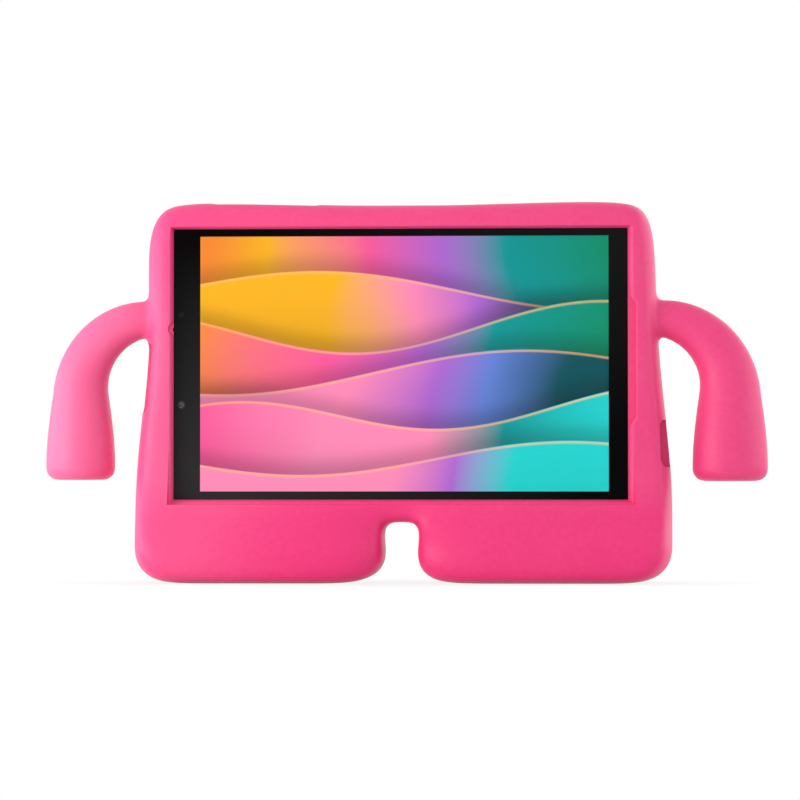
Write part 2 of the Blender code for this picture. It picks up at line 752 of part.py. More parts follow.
def make_mid_frame(parts, tablet):
    """The metal plate that carries the display in front and the boards behind."""
    frame = add_object(
        "mid_frame",
        plate_bmesh(
            (INSIDE_LEFT + STACK_GAP, DISPLAY_FRONT, -INSIDE_TOP + STACK_GAP),
            (INSIDE_RIGHT - STACK_GAP, PLATE_BACK, INSIDE_TOP - STACK_GAP),
            TABLET_CORNER_RADIUS - RIM_WALL,
        ),
        parts,
        tablet,
    )
    recess = box_bmesh(
        (PANEL_LEFT - STACK_GAP, -RIM_WALL, -PANEL_TOP - STACK_GAP),
        (PANEL_RIGHT + STACK_GAP, PLATE_FRONT, PANEL_TOP + STACK_GAP),
    )
    boolean(frame, cutter("display_recess_cutter", recess, tablet))
    through_front, through_back = -RIM_WALL, PLATE_BACK + RIM_WALL
    eye = FRONT_CAMERA_SIDE / 2 + FIT_GAP / 2
    camera_x = LEFT_END + FRONT_CAMERA_INSET
    camera_hole = box_bmesh((-eye, through_front, -eye), (eye, through_back, eye))
    camera_at = (camera_x, 0, FRONT_CAMERA_HEIGHT)
    boolean(frame, cutter("front_camera_cutter", camera_hole, tablet, camera_at))
    eye = LIGHT_SENSOR_SIDE / 2 + FIT_GAP / 2
    sensor_hole = box_bmesh((-eye, through_front, -eye), (eye, through_back, eye))
    sensor_at = (camera_x, 0, LIGHT_SENSOR_HEIGHT)
    boolean(frame, cutter("light_sensor_cutter", sensor_hole, tablet, sensor_at))
    half = JACK_BLOCK / 2 + FIT_GAP
    jack_room = box_bmesh(
        (LEFT_END, through_front, JACK_HEIGHT - half),
        (INSIDE_LEFT + JACK_LENGTH + FIT_GAP, through_back, JACK_HEIGHT + half),
    )
    boolean(frame, cutter("jack_room_cutter", jack_room, tablet))
    half = SOCKET_WIDTH / 2 + FIT_GAP
    socket_room = box_bmesh(
        (SOCKET_LEFT - FIT_GAP, through_front, SOCKET_HEIGHT - half),
        (RIGHT_END, through_back, SOCKET_HEIGHT + half),
    )
    boolean(frame, cutter("socket_room_cutter", socket_room, tablet))
    half = DISPLAY_RIBBON_WIDTH / 2 + FIT_GAP
    ribbon_slot = box_bmesh(
        (PANEL_LEFT + STACK_GAP, through_front, DISPLAY_RIBBON_MIDDLE - half),
        (BOARD_LEFT - STACK_GAP, through_back, DISPLAY_RIBBON_MIDDLE + half),
    )
    boolean(frame, cutter("ribbon_slot_cutter", ribbon_slot, tablet))
    for number, (x, z) in enumerate(screw_places(), 1):
        blind = cylinder_bmesh(
            SCREW_SHANK_RADIUS + STACK_GAP, SCREW_GRIP + RIM_WALL, SMALL_ROUND_SIDES
        )
        blind_at = (x, PLATE_BACK - SCREW_GRIP, z)
        boolean(frame, cutter(f"screw_seat_cutter_{number}", blind, tablet, blind_at))
    paint(frame, PLATE_GREY, SATIN, 1.0)


def make_back_cover(parts, tablet):
    """The tablet's back and rim in one tray, with its ports and button slots."""
    cover = add_object(
        "back_cover",
        plate_bmesh(
            (LEFT_END, STACK_GAP, -UPPER_EDGE),
            (RIGHT_END, TABLET_THICKNESS, UPPER_EDGE),
            TABLET_CORNER_RADIUS,
            TABLET_FRONT_EDGE,
            TABLET_BACK_EDGE,
        ),
        parts,
        tablet,
    )
    hollow = plate_bmesh(
        (INSIDE_LEFT, -RIM_WALL, -INSIDE_TOP),
        (INSIDE_RIGHT, INSIDE_BACK, INSIDE_TOP),
        TABLET_CORNER_RADIUS - RIM_WALL,
    )
    boolean(cover, cutter("cover_hollow_cutter", hollow, tablet))
    half_socket = SOCKET_WIDTH / 2 + FIT_GAP / 2
    half_thick = SOCKET_THICKNESS / 2 + FIT_GAP / 2
    port = box_bmesh(
        (INSIDE_RIGHT - RIM_WALL, -half_thick, -half_socket),
        (RIGHT_END + RIM_WALL, half_thick, half_socket),
    )
    round_edges(port, edges_along(port, 0), SOCKET_THICKNESS / 2, EDGE_SEGMENTS)
    port_at = (0, MID_DEPTH, SOCKET_HEIGHT)
    boolean(cover, cutter("port_cutter", port, tablet, port_at))
    jack = cylinder_bmesh(JACK_BORE / 2 + FIT_GAP, 2 * JACK_BORE, ROUND_SIDES)
    bmesh.ops.rotate(jack, matrix=Matrix.Rotation(QUARTER_TURN, 3, "Z"), verts=jack.verts)
    jack_at = (INSIDE_LEFT + RIM_WALL, MID_DEPTH, JACK_HEIGHT)
    boolean(cover, cutter("jack_cutter", jack, tablet, jack_at))
    for name, middle, length in button_places():
        half = length / 2 + FIT_GAP / 2
        half_thick = BUTTON_THICKNESS / 2 + FIT_GAP / 2
        slot = box_bmesh((-half, -half_thick, -2 * RIM_WALL), (half, half_thick, RIM_WALL))
        slot_at = (middle, BUTTON_DEPTH, UPPER_EDGE)
        boolean(cover, cutter(f"{name}_slot_cutter", slot, tablet, slot_at))
    lens = cylinder_bmesh(REAR_LENS_RADIUS + FIT_GAP / 2, 3 * COVER_WALL, ROUND_SIDES)
    lens_at = rear_camera_place(INSIDE_BACK - COVER_WALL)
    boolean(cover, cutter("rear_lens_cutter", lens, tablet, lens_at))
    paint(cover, SHELL_GREY, SATIN, 1.0)


def rear_camera_place(depth):
    """Where the rear camera looks out, at a depth."""
    return (LEFT_END + REAR_CAMERA_INSET, depth, UPPER_EDGE - REAR_CAMERA_DROP)


def button_places():
    """Name, middle and length of each button in the upper edge."""
    return (
        ("power_button", LEFT_END + POWER_FROM_END, POWER_LENGTH),
        ("volume_rocker", LEFT_END + VOLUME_FROM_END, VOLUME_LENGTH),
    )


def make_buttons(parts, tablet):
    """Two keys that stand through the rim, held by a lip inside, and the switch strip behind."""
    for name, middle, length in button_places():
        lip_top = -RIM_WALL - STACK_GAP
        bm = box_bmesh(
            (-length / 2, -BUTTON_THICKNESS / 2, lip_top - BUTTON_LIP / 2),
            (length / 2, BUTTON_THICKNESS / 2, BUTTON_PROUD),
        )
        round_edges(bm, edges_along(bm, 2), BUTTON_CORNER, EDGE_SEGMENTS - 1)
        round_edges(bm, rim_edges(bm, 2, BUTTON_PROUD), BUTTON_PROUD / 2, EDGE_SEGMENTS - 1)
        key = add_object(name, bm, parts, tablet, (middle, BUTTON_DEPTH, UPPER_EDGE))
        lip = box_bmesh(
            (-length / 2 - BUTTON_LIP, -BUTTON_THICKNESS / 2 - FIT_GAP, lip_top - BUTTON_LIP),
            (length / 2 + BUTTON_LIP, BUTTON_THICKNESS / 2 + FIT_GAP, lip_top),
        )
        key_at = (middle, BUTTON_DEPTH, UPPER_EDGE)
        boolean(key, cutter(f"{name}_lip", lip, tablet, key_at), "UNION")
        paint(key, KEY_GREY, SATIN, 1.0)
    strip_top = INSIDE_TOP - STACK_GAP - BUTTON_LIP - BUTTON_TRAVEL - STACK_GAP
    (_, first, first_length), (_, last, last_length) = button_places()
    strip_left = first - first_length / 2 - KEY_BOARD_SPARE
    strip_right = last + last_length / 2 + KEY_BOARD_SPARE
    strip_back = BUTTON_DEPTH + BUTTON_THICKNESS / 2
    strip = add_object(
        "side_key_board",
        box_bmesh(
            (strip_left, INSIDE_FRONT, strip_top - KEY_BOARD_THICKNESS),
            (strip_right, strip_back, strip_top),
        ),
        parts,
        tablet,
    )
    paint(strip, KEY_BOARD_GREEN, SATIN)


def make_ports(parts, tablet):
    """The headphone jack at the camera end and the charging socket at the other."""
    half = JACK_BLOCK / 2
    jack = add_object(
        "headphone_jack",
        box_bmesh(
            (INSIDE_LEFT + STACK_GAP, MID_DEPTH - half, JACK_HEIGHT - half),
            (INSIDE_LEFT + JACK_LENGTH, MID_DEPTH + half, JACK_HEIGHT + half),
        ),
        parts,
        tablet,
    )
    bore = cylinder_bmesh(JACK_BORE / 2, JACK_LENGTH, ROUND_SIDES)
    bmesh.ops.rotate(bore, matrix=Matrix.Rotation(QUARTER_TURN, 3, "Z"), verts=bore.verts)
    bore_at = (INSIDE_LEFT + JACK_LENGTH - RIM_WALL, MID_DEPTH, JACK_HEIGHT)
    boolean(jack, cutter("jack_bore_cutter", bore, tablet, bore_at))
    paint(jack, NEAR_BLACK, MATT)

    half_wide, half_thick = SOCKET_WIDTH / 2, SOCKET_THICKNESS / 2
    shell = box_bmesh(
        (SOCKET_LEFT, -half_thick, -half_wide),
        (SOCKET_LEFT + SOCKET_LENGTH, half_thick, half_wide),
    )
    round_edges(shell, edges_along(shell, 0), half_thick - STACK_GAP, EDGE_SEGMENTS)
    socket_at = (0, MID_DEPTH, SOCKET_HEIGHT)
    socket = add_object("charging_socket", shell, parts, tablet, socket_at)
    mouth = box_bmesh(
        (SOCKET_LEFT + RIM_WALL, SOCKET_WALL - half_thick, SOCKET_WALL - half_wide),
        (RIGHT_END, half_thick - SOCKET_WALL, half_wide - SOCKET_WALL),
    )
    inner_round = half_thick - SOCKET_WALL - STACK_GAP
    round_edges(mouth, edges_along(mouth, 0), inner_round, EDGE_SEGMENTS)
    mouth_cutter = cutter("socket_mouth_cutter", mouth, tablet, socket_at)
    tongue = box_bmesh(
        (SOCKET_LEFT, -TONGUE_THICKNESS / 2, -TONGUE_WIDTH / 2),
        (SOCKET_LEFT + SOCKET_LENGTH - RIM_WALL, TONGUE_THICKNESS / 2, TONGUE_WIDTH / 2),
    )
    boolean(mouth_cutter, cutter("socket_tongue_cutter", tongue, tablet, socket_at))
    boolean(socket, mouth_cutter)
    paint(socket, SOCKET_METAL, SATIN, 1.0)


def make_boards(parts, tablet):
    """The main board with its shield can, and the small board behind the charging socket."""
    main = add_object(
        "main_board",
        box_bmesh(
            (BOARD_LEFT, INSIDE_FRONT, BOARD_BOTTOM), (BOARD_RIGHT, BOARD_BACK, BOARD_TOP)
        ),
        parts,
        tablet,
    )
    port_bottom = SOCKET_HEIGHT - PORT_BOARD_HEIGHT / 2
    port = add_object(
        "charging_board",
        box_bmesh(
            (PORT_BOARD_LEFT, INSIDE_FRONT, port_bottom),
            (PORT_BOARD_RIGHT, BOARD_BACK, port_bottom + PORT_BOARD_HEIGHT),
        ),
        parts,
        tablet,
    )
    for number, (x, z) in enumerate(screw_places(), 1):
        hole = cylinder_bmesh(
            SCREW_SHANK_RADIUS + STACK_GAP, 3 * BOARD_THICKNESS, SMALL_ROUND_SIDES
        )
        hole_at = (x, INSIDE_FRONT - BOARD_THICKNESS, z)
        tool = cutter(f"screw_hole_cutter_{number}", hole, tablet, hole_at)
        boolean(main if x < 0 else port, tool)
    paint(main, BOARD_GREEN, MATT)
    paint(port, BOARD_GREEN, MATT)
    board_middle = (BOARD_LEFT + BOARD_RIGHT) / 2
    can_front = BOARD_BACK + STACK_GAP
    can = add_object(
        "shield_can",
        plate_bmesh(
            (board_middle - SHIELD_LENGTH / 2, can_front, SHIELD_MIDDLE - SHIELD_HEIGHT / 2),
            (
                board_middle + SHIELD_LENGTH / 2,
                can_front + SHIELD_THICKNESS,
                SHIELD_MIDDLE + SHIELD_HEIGHT / 2,
            ),
            SHIELD_CORNER,
        ),
        parts,
        tablet,
    )
    paint(can, BRIGHT_METAL, SATIN, 1.0)


def screw_places():
    """The middles of the screws that hold the two boards to the plate."""
    left, right = BOARD_LEFT + SCREW_FROM_EDGE, BOARD_RIGHT - SCREW_FROM_EDGE
    low, high = BOARD_BOTTOM + SCREW_FROM_EDGE, BOARD_TOP - SCREW_FROM_EDGE
    port_x = PORT_BOARD_LEFT + SCREW_FROM_EDGE
    port_reach = PORT_BOARD_HEIGHT / 2 - SCREW_FROM_EDGE
    return (
        (left, low),
        (right, low),
        (left, high),
        (right, high),
        (port_x, SOCKET_HEIGHT - port_reach),
        (port_x, SOCKET_HEIGHT + port_reach),
    )


def make_screws(parts, tablet):
    """Small pan-head screws, each head on the back of its board."""
    for number, (x, z) in enumerate(screw_places(), 1):
        bm = cylinder_bmesh(SCREW_HEAD_RADIUS, SCREW_HEAD_HEIGHT, SMALL_ROUND_SIDES)
        under = min(bm.faces, key=lambda face: face.calc_center_median().y)
        bmesh.ops.inset_region(
            bm, faces=[under], thickness=SCREW_HEAD_RADIUS - SCREW_SHANK_RADIUS
        )
        made = bmesh.ops.extrude_face_region(bm, geom=[under])
        if under.is_valid:
            bmesh.ops.delete(bm, geom=[under], context="FACES_ONLY")
        tip = [item for item in made["geom"] if isinstance(item, bmesh.types.BMVert)]
        reach = BOARD_THICKNESS + STACK_GAP + SCREW_GRIP
        bmesh.ops.translate(bm, vec=(0, -reach, 0), verts=tip)
        screw_at = (x, BOARD_BACK + STACK_GAP, z)
        screw = add_object(f"board_screw_{number}", bm, parts, tablet, screw_at)
        paint(screw, SCREW_METAL, SATIN, 1.0)


def make_battery(parts, tablet):
    """The flat battery between the two boards."""
    battery = add_object(
        "battery",
        plate_bmesh(
            (BATTERY_LEFT, INSIDE_FRONT, BATTERY_BOTTOM_GAP - INSIDE_TOP),
            (BATTERY_RIGHT, BATTERY_BACK, INSIDE_TOP - BATTERY_TOP_GAP),
            BATTERY_EDGE,
            0.0,
            BATTERY_EDGE,
        ),
        parts,
        tablet,
    )
    paint(battery, NEAR_BLACK, SATIN)


def add_ribbon(name, points, middle, width, parts, tablet):
    """A thin strip that follows points of X and depth, at one height."""
    bm = bmesh.new()
    verts = [bm.verts.new((x, depth, middle - width / 2)) for x, depth in points]
    edges = [bm.edges.new(pair) for pair in zip(verts, verts[1:])]
    made = bmesh.ops.extrude_edge_only(bm, edges=edges)
    moved = [item for item in made["geom"] if isinstance(item, bmesh.types.BMVert)]
    bmesh.ops.translate(bm, vec=(0, 0, width), verts=moved)
    ribbon = add_object(name, bm, parts, tablet)
    wall = ribbon.modifiers.new("thickness", "SOLIDIFY")
    wall.thickness = RIBBON_THICKNESS
    wall.offset = 0.0
    wall.use_even_offset = True
    paint(ribbon, RIBBON_AMBER, SATIN)


def make_ribbons(parts, tablet):
    """The ribbons between display, boards and battery."""
    on_board = BOARD_BACK + STACK_GAP + RIBBON_THICKNESS / 2
    over_battery = BATTERY_BACK + STACK_GAP + RIBBON_THICKNESS / 2
    left_step = (BOARD_RIGHT + BATTERY_LEFT) / 2
    right_step = (BATTERY_RIGHT + PORT_BOARD_LEFT) / 2
    link = (
        (BOARD_RIGHT - RIBBON_LANDING, on_board),
        (left_step, on_board),
        (left_step, over_battery),
        (right_step, over_battery),
        (right_step, on_board),
        (PORT_BOARD_LEFT + RIBBON_LANDING, on_board),
    )
    add_ribbon("board_link_ribbon", link, LINK_RIBBON_MIDDLE, LINK_RIBBON_WIDTH, parts, tablet)
    slot_middle = (PANEL_LEFT + BOARD_LEFT) / 2
    display = (
        (slot_middle, DISPLAY_BACK + 2 * STACK_GAP),
        (slot_middle, on_board),
        (BOARD_LEFT + RIBBON_LANDING, on_board),
    )
    add_ribbon(
        "display_ribbon", display, DISPLAY_RIBBON_MIDDLE, DISPLAY_RIBBON_WIDTH, parts, tablet
    )
    lead = ((BOARD_RIGHT - RIBBON_LANDING, on_board), (BATTERY_LEFT - STACK_GAP, on_board))
    add_ribbon("battery_lead", lead, LEAD_MIDDLE, LEAD_WIDTH, parts, tablet)


def make_cameras(parts, tablet):
    """The front camera, the light sensor, and the rear camera with its window."""
    camera_x = LEFT_END + FRONT_CAMERA_INSET
    half = FRONT_CAMERA_SIDE / 2
    front = add_object(
        "front_camera",
        box_bmesh(
            (camera_x - half, DISPLAY_FRONT, FRONT_CAMERA_HEIGHT - half),
            (camera_x + half, DISPLAY_FRONT + FRONT_CAMERA_DEPTH, FRONT_CAMERA_HEIGHT + half),
        ),
        parts,
        tablet,
    )
    paint(front, NEAR_BLACK, SATIN)
    half = LIGHT_SENSOR_SIDE / 2
    sensor = add_object(
        "light_sensor",
        box_bmesh(
            (camera_x - half, DISPLAY_FRONT, LIGHT_SENSOR_HEIGHT - half),
            (camera_x + half, DISPLAY_FRONT + LIGHT_SENSOR_DEPTH, LIGHT_SENSOR_HEIGHT + half),
        ),
        parts,
        tablet,
    )
    paint(sensor, NEAR_BLACK, SATIN)
    half = REAR_CAMERA_SIDE / 2
    barrel_length = INSIDE_BACK - STACK_GAP - INSIDE_FRONT
    module = add_object(
        "rear_camera",
        box_bmesh((-half, 0, -half), (half, REAR_CAMERA_BODY, half)),
        parts,
        tablet,
        rear_camera_place(INSIDE_FRONT),
    )
    barrel = cylinder_bmesh(BARREL_RADIUS, barrel_length - STACK_GAP, ROUND_SIDES)
    barrel_at = rear_camera_place(INSIDE_FRONT + STACK_GAP)
    boolean(module, cutter("rear_barrel", barrel, tablet, barrel_at), "UNION")
    paint(module, NEAR_BLACK, SATIN)
    window = add_object(
        "rear_camera_window",
        cylinder_bmesh(REAR_LENS_RADIUS, REAR_LENS_THICKNESS, ROUND_SIDES),
        parts,
        tablet,
        rear_camera_place(TABLET_THICKNESS + REAR_LENS_PROUD - REAR_LENS_THICKNESS),
    )
    paint(window, LENS_BLACK, GLOSS)


def make_speakers(parts, tablet):
    """A speaker box at each end of the tablet."""
    boxes = (
        (
            "speaker_camera_end",
            INSIDE_LEFT + STACK_GAP,
            INSIDE_LEFT + STACK_GAP + SPEAKER_CAMERA_LENGTH,
            SPEAKER_CAMERA_MIDDLE,
            SPEAKER_CAMERA_HEIGHT,
        ),
        (
            "speaker_port_end",
            INSIDE_RIGHT - STACK_GAP - SPEAKER_PORT_LENGTH,
            INSIDE_RIGHT - STACK_GAP,
            SPEAKER_PORT_MIDDLE,
            SPEAKER_PORT_HEIGHT,
        ),
    )
    for name, left, right, middle, height in boxes:
        speaker = add_object(
            name,
            plate_bmesh(
                (left, INSIDE_FRONT, middle - height / 2),
                (right, INSIDE_FRONT + SPEAKER_THICKNESS, middle + height / 2),
                SPEAKER_CORNER,
            ),
            parts,
            tablet,
        )
        paint(speaker, NEAR_BLACK, MATT)


def make_tablet(parts):
    """The tablet, built round an empty at the middle of its glass."""
    tablet = bpy.data.objects.new("tablet", None)
    tablet.location = (0, GLASS_FRONT, TABLET_MIDDLE)
    parts.objects.link(tablet)
    bpy.context.view_layer.update()
    make_screen(parts, tablet)
    make_mid_frame(parts, tablet)
    make_back_cover(parts, tablet)
    make_buttons(parts, tablet)
    make_ports(parts, tablet)
    make_boards(parts, tablet)
    make_screws(parts, tablet)
    make_battery(parts, tablet)
    make_ribbons(parts, tablet)
    make_cameras(parts, tablet)
    make_speakers(parts, tablet)


def centre_whole():
    """Moves everything so that the middle of the overall width lies at zero."""
    for obj in bpy.data.objects:
        if obj.parent is None:
            obj.location.x -= SIDE_REACH + SIDE_THICKNESS


def main():
    """Builds the case and the tablet in it."""
    clear_scene()
    parts = make_collection("kids_tablet_case")
    make_collection("cutters")
    make_foam(parts)
    make_tablet(parts)
    centre_whole()


main()
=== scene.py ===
"""Looks of a kids tablet case: a pink foam case on two feet, with an arm at each side,
round an eight-inch tablet with a lit picture.

Metres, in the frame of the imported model: X to the right, the screen to -Y, Z up.
Heights are above the floor, where the part's source gives some from the tablet's middle.
"""

import math

import bmesh
import bpy
from mathutils import Matrix, Vector


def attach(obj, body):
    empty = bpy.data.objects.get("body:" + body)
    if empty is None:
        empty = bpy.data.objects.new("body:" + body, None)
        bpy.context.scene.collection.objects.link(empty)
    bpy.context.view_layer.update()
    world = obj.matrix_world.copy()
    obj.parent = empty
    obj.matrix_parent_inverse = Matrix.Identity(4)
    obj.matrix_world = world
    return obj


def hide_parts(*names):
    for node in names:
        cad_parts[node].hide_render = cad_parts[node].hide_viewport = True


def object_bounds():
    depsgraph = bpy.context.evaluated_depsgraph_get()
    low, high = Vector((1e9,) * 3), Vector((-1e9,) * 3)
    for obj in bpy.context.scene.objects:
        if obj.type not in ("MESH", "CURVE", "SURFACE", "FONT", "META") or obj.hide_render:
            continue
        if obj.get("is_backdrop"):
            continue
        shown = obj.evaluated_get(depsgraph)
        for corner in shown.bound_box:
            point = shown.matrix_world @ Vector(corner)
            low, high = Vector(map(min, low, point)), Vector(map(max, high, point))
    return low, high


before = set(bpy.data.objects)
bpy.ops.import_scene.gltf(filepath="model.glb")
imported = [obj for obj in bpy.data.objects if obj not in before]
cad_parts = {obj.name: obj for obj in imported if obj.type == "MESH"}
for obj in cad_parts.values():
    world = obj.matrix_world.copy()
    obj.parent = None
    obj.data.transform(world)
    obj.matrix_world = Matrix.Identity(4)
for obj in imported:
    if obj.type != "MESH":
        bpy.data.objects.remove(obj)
cad_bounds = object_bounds()

# Tablet and pocket, as in the part's source
FIT_GAP = 0.0003
TABLET_LENGTH = 0.1990
TABLET_WIDTH = 0.1218
TABLET_THICKNESS = 0.0082
TABLET_CORNER = 0.0090
TABLET_BACK_EDGE = 0.0024
RIM_WALL = 0.0012
GLASS_FRONT = -0.0080
TABLET_MIDDLE = 0.0925
DISPLAY_LENGTH = 0.1723
DISPLAY_WIDTH = 0.1077
DISPLAY_OFFSET = 0.0006
EYE_PLACE = (-0.0935, 0.0752)
EYE_RADIUS = 0.0012
SENSOR_PLACE = (-0.0935, 0.1133)
SENSOR_RADIUS = 0.0012
REAR_CAMERA_PLACE = (-0.0860, 0.1400)
BUTTON_MIDDLE = -0.0030

# Foam body, as in the part's source
BODY_TOP = 0.1599
BODY_HALF_WIDTH = 0.1067
POCKET_FRONT = GLASS_FRONT - FIT_GAP
LIP_THICKNESS = 0.0047
TORSO_FRONT = POCKET_FRONT - LIP_THICKNESS
TORSO_BACK = 0.0115
TORSO_MIDDLE = (TORSO_FRONT + TORSO_BACK) / 2
WINDOW_LEFT = -0.0967
WINDOW_RIGHT = 0.0948
WINDOW_TOP = 0.1494
WINDOW_BOTTOM = 0.0352
LIP_ROUNDS = {"left": 0.0018, "right": 0.0030, "down": 0.0022, "up": 0.0012}
GAP_HEIGHT = 0.0257
GAP_HALF_WIDTH = 0.0071
GAP_CORNER = 0.0080
GAP_FRONT_ROUND = 0.0060
FOOT_DEPTH = 0.0560
FOOT_TOP = 0.0410
FOOT_FULL = 0.0140
FOOT_SPREAD = 0.0070
SPREAD_TOP = 0.1150
SPREAD_FULL = 0.0380
SOLE_ROUND = 0.0090
INNER_TOE = 0.0200
LEFT_TOE_PULL = 0.0072
RIGHT_TOE_PULL = 0.0048
LEFT_GAP_PULL = 0.0012
RIGHT_TOE_BULGE = 0.0012
OUTER_TOE_PULL = 0.0075
LEFT_FLAT_INSET = 0.0105
RIGHT_FLAT_INSET = 0.0085
SOLE_FLAT_OUTSET = 0.0160
RIGHT_FLANK_COLUMN = 0.0085
END_COLUMN = 0.0135
FLANK_ROUND = 0.0040
TOP_ROUND = 0.0026
TOP_CORNER = 0.0150
CORNER_PULL = 0.0039
CORNER_BUMPER = 0.0021
LEFT_CORNER_OUT = 0.0028
LEFT_CORNER_FULLNESS = 0.0008
RIGHT_CORNER_OUT = 0.0004
EDGE_SHARE = 0.32
WAIST_HEIGHT = 0.0620
CHEST_HEIGHT = 0.1040

# Arms, as in the part's source
SHOULDER_HEIGHT = 0.1118
SHOULDER_RADIUS = 0.0075
SHOULDER_FLARE = 0.0016
SHOULDER_DEPTH = 0.0040
ARM_REACH = 0.1375
ELBOW_HEIGHT = 0.0800
ELBOW_RADIUS = 0.0124
HAND_HEIGHT = 0.0433
HAND_RADIUS = 0.0153
HAND_EDGE = 0.0050
ARM_FLATNESS = 0.92
SIDE_REACH = 0.0004
SIDE_THICKNESS = 0.0006
SIDE_DROP = 0.0003
CENTRE = -SIDE_REACH - SIDE_THICKNESS

# Openings in the foam, as in the part's source
RELIEF_HALF_HEIGHT = 0.0239
RELIEF_WIDTH = 0.0034
RELIEF_SLANT = 0.0042
RELIEF_FLOOR = 0.0018
RELIEF_MIDDLE = 0.0936
SLOT_CORNER = 0.0030
SLOT_FORWARD = 0.0015
SLOT_FLARE = 0.0012
PORT_SLOT = (0.0498, 0.0678)
JACK_SLOT = (0.07315, 0.10065)
BUTTON_SLOT = (-0.0803, -0.0363)
BUTTON_SLOT_WIDTH = 0.0068
CAMERA_HOLE_RADIUS = 0.0055
CAMERA_HOLE_FLARE = 0.0025
CLEAR_OF_FOAM = 0.0560

# Small details of the looks, beside the part's source
LEFT_FLANK_COLUMN = 0.0115
RELIEF_ROUND = 0.0009
RELIEF_ROUNDS = {"left": 0.0, "right": RELIEF_ROUND, "down": RELIEF_ROUND, "up": RELIEF_ROUND}
NOTCH_PLACE = (-0.0957, -0.0114, 0.1070)
NOTCH_RADIUS = 0.0034
PORT_SLOT_FORWARD = 0.0008
PORT_SLOT_SLANT = 0.0014

# Smoothness of the foam
BODY_SUBDIVISION = 3
ARM_SIDES = 64
ARM_STEPS = 28
FOREARM_STEPS = 10
RIM_STEPS = 8
CORNER_STEPS = 8
LIP_STEPS = 10
RELIEF_STEPS = 4
ROUND_SIDES = 48
FOAM_VOXEL = 0.0011
FOAM_SMOOTHING = 3
SHOULDER_SMOOTHING = 8
SHOULDER_BAND = 0.0040
SMOOTHING_SHARE = 0.5
SHARP_ANGLE = math.radians(38)
SAME_PLACE = 0.00001

# Foam finish: a band is a start and an end, and its strength where it has a third value
FOAM_PINK = (0.825, 0.030, 0.186)
# The paler pink mixed in for the painted sheen and for the real scuffs
PAINTED_SHEEN_AND_SCUFF_PINK = (0.950, 0.24, 0.42)
FOAM_SHADE = 0.95
FOAM_MOTTLE_SHADE = 0.09
FOAM_ROUGHNESS = 0.42
FOAM_MOTTLE_ROUGHNESS = 0.10
FOAM_SHEEN = 0.02
FOAM_SHEEN_ROUGHNESS = 0.5
FOAM_SHEEN_TINT = (1.0, 0.85, 0.92)
FOAM_SHINE = 0.34
FOAM_RELIEF = 0.00012
FOAM_RELIEF_STRENGTH = 0.6
# Painted sheen: a paler pink over the body above the soles, more at the left and on the left arm,
# where the lamps at the left light the foam
BODY_PAINTED_SHEEN = (0.024, 0.046, 0.13)
LEFT_PAINTED_SHEEN = (-0.030, -0.095, 0.16)
LEFT_PAINTED_SHEEN_FADE = (0.150, 0.085)
ARM_PAINTED_SHEEN = (-0.122, -0.146, 0.24)
ARM_ARCH = (0.085, 0.115)
ARM_ARCH_SHIFT = 0.024
PAINTED_SHEEN_UNEVENNESS = 0.12
SCUFF_PALENESS = 0.10
SCUFF_ROUGHNESS = 0.08
SCUFF_BAND = (0.66, 0.80)
SCUFF_STRETCH = (1.0, 1.0, 5.0)
PORE_BAND = (0.0, 0.55)
GRAIN_HEIGHT = 0.5
MOTTLE_HEIGHT = 0.6
PORE_HEIGHT = 0.25

# Noise in the finishes: features per metre, detail and roughness
BROAD_NOISE = (22.0, 3.0, 0.5)
MOTTLE_NOISE = (420.0, 4.0, 0.6)
GRAIN_NOISE = (2600.0, 2.0, 0.6)
SCUFF_NOISE = (60.0, 6.0, 0.75)
PORE_SCALE = 1500.0
SMUDGE_NOISE = (40.0, 4.0, 0.6)
WARP_NOISE = (14.0, 1.0, 0.5)
PATCH_NOISE = (60.0, 2.0, 0.5)

# Glass finish, with the black ink behind its border, and a painted reflection that lightens that ink
# towards the lower left
GLASS_INDEX = 1.18
EYE_RING = 0.0014
EYE_RING_WIDTH = 0.0002
EYE_RING_GREY = 0.04
SENSOR_GREY = 0.007
INK_TINT = (1.0, 1.02, 1.02)
INK_GREY = 0.0075
# Painted reflection on the ink: how much lighter it is towards the left, the bottom and the corners,
# and how far it reaches
PAINTED_REFLECTION_ASIDE = 0.0051
PAINTED_REFLECTION_ABOVE = 0.0042
PAINTED_REFLECTION_CORNERS = 0.0082
PAINTED_REFLECTION_REACH = (0.090, 0.050)
INK_ROUGHNESS = 0.08
SMUDGE_ROUGHNESS = 0.10
INK_SHINE = 0.04

# Picture on the display: its colours, and each layer's colours with their share of the width
YELLOW = (0.98, 0.46, 0.010)
ORANGE = (0.96, 0.26, 0.030)
ROSE = (0.98, 0.25, 0.46)
HOT_PINK = (0.96, 0.10, 0.32)
VIOLET = (0.42, 0.13, 0.62)
BLUE = (0.12, 0.22, 0.66)
TEAL = (0.0, 0.30, 0.31)
CYAN = (0.01, 0.62, 0.60)
GREEN = (0.0, 0.26, 0.13)
DEEP_TEAL = (0.0, 0.075, 0.095)
WAVE_RIM = (1.0, 0.55, 0.20)
SKY = ((0.0, ORANGE), (0.20, YELLOW), (0.42, HOT_PINK), (0.60, VIOLET), (0.78, TEAL), (1.0, GREEN))
GOLD_LAYER = ((0.0, YELLOW), (0.34, YELLOW), (0.52, ROSE), (0.66, VIOLET), (0.84, DEEP_TEAL))
SUNSET_LAYER = ((0.0, ORANGE), (0.30, HOT_PINK), (0.52, VIOLET), (0.72, TEAL), (1.0, GREEN))
DUSK_LAYER = ((0.0, ROSE), (0.36, ROSE), (0.58, VIOLET), (0.74, BLUE), (0.92, DEEP_TEAL))
CORAL_LAYER = ((0.0, HOT_PINK), (0.30, ROSE), (0.56, ROSE), (0.76, TEAL), (1.0, CYAN))
LAGOON_LAYER = ((0.0, ROSE), (0.46, ROSE), (0.64, VIOLET), (0.78, CYAN), (1.0, CYAN))

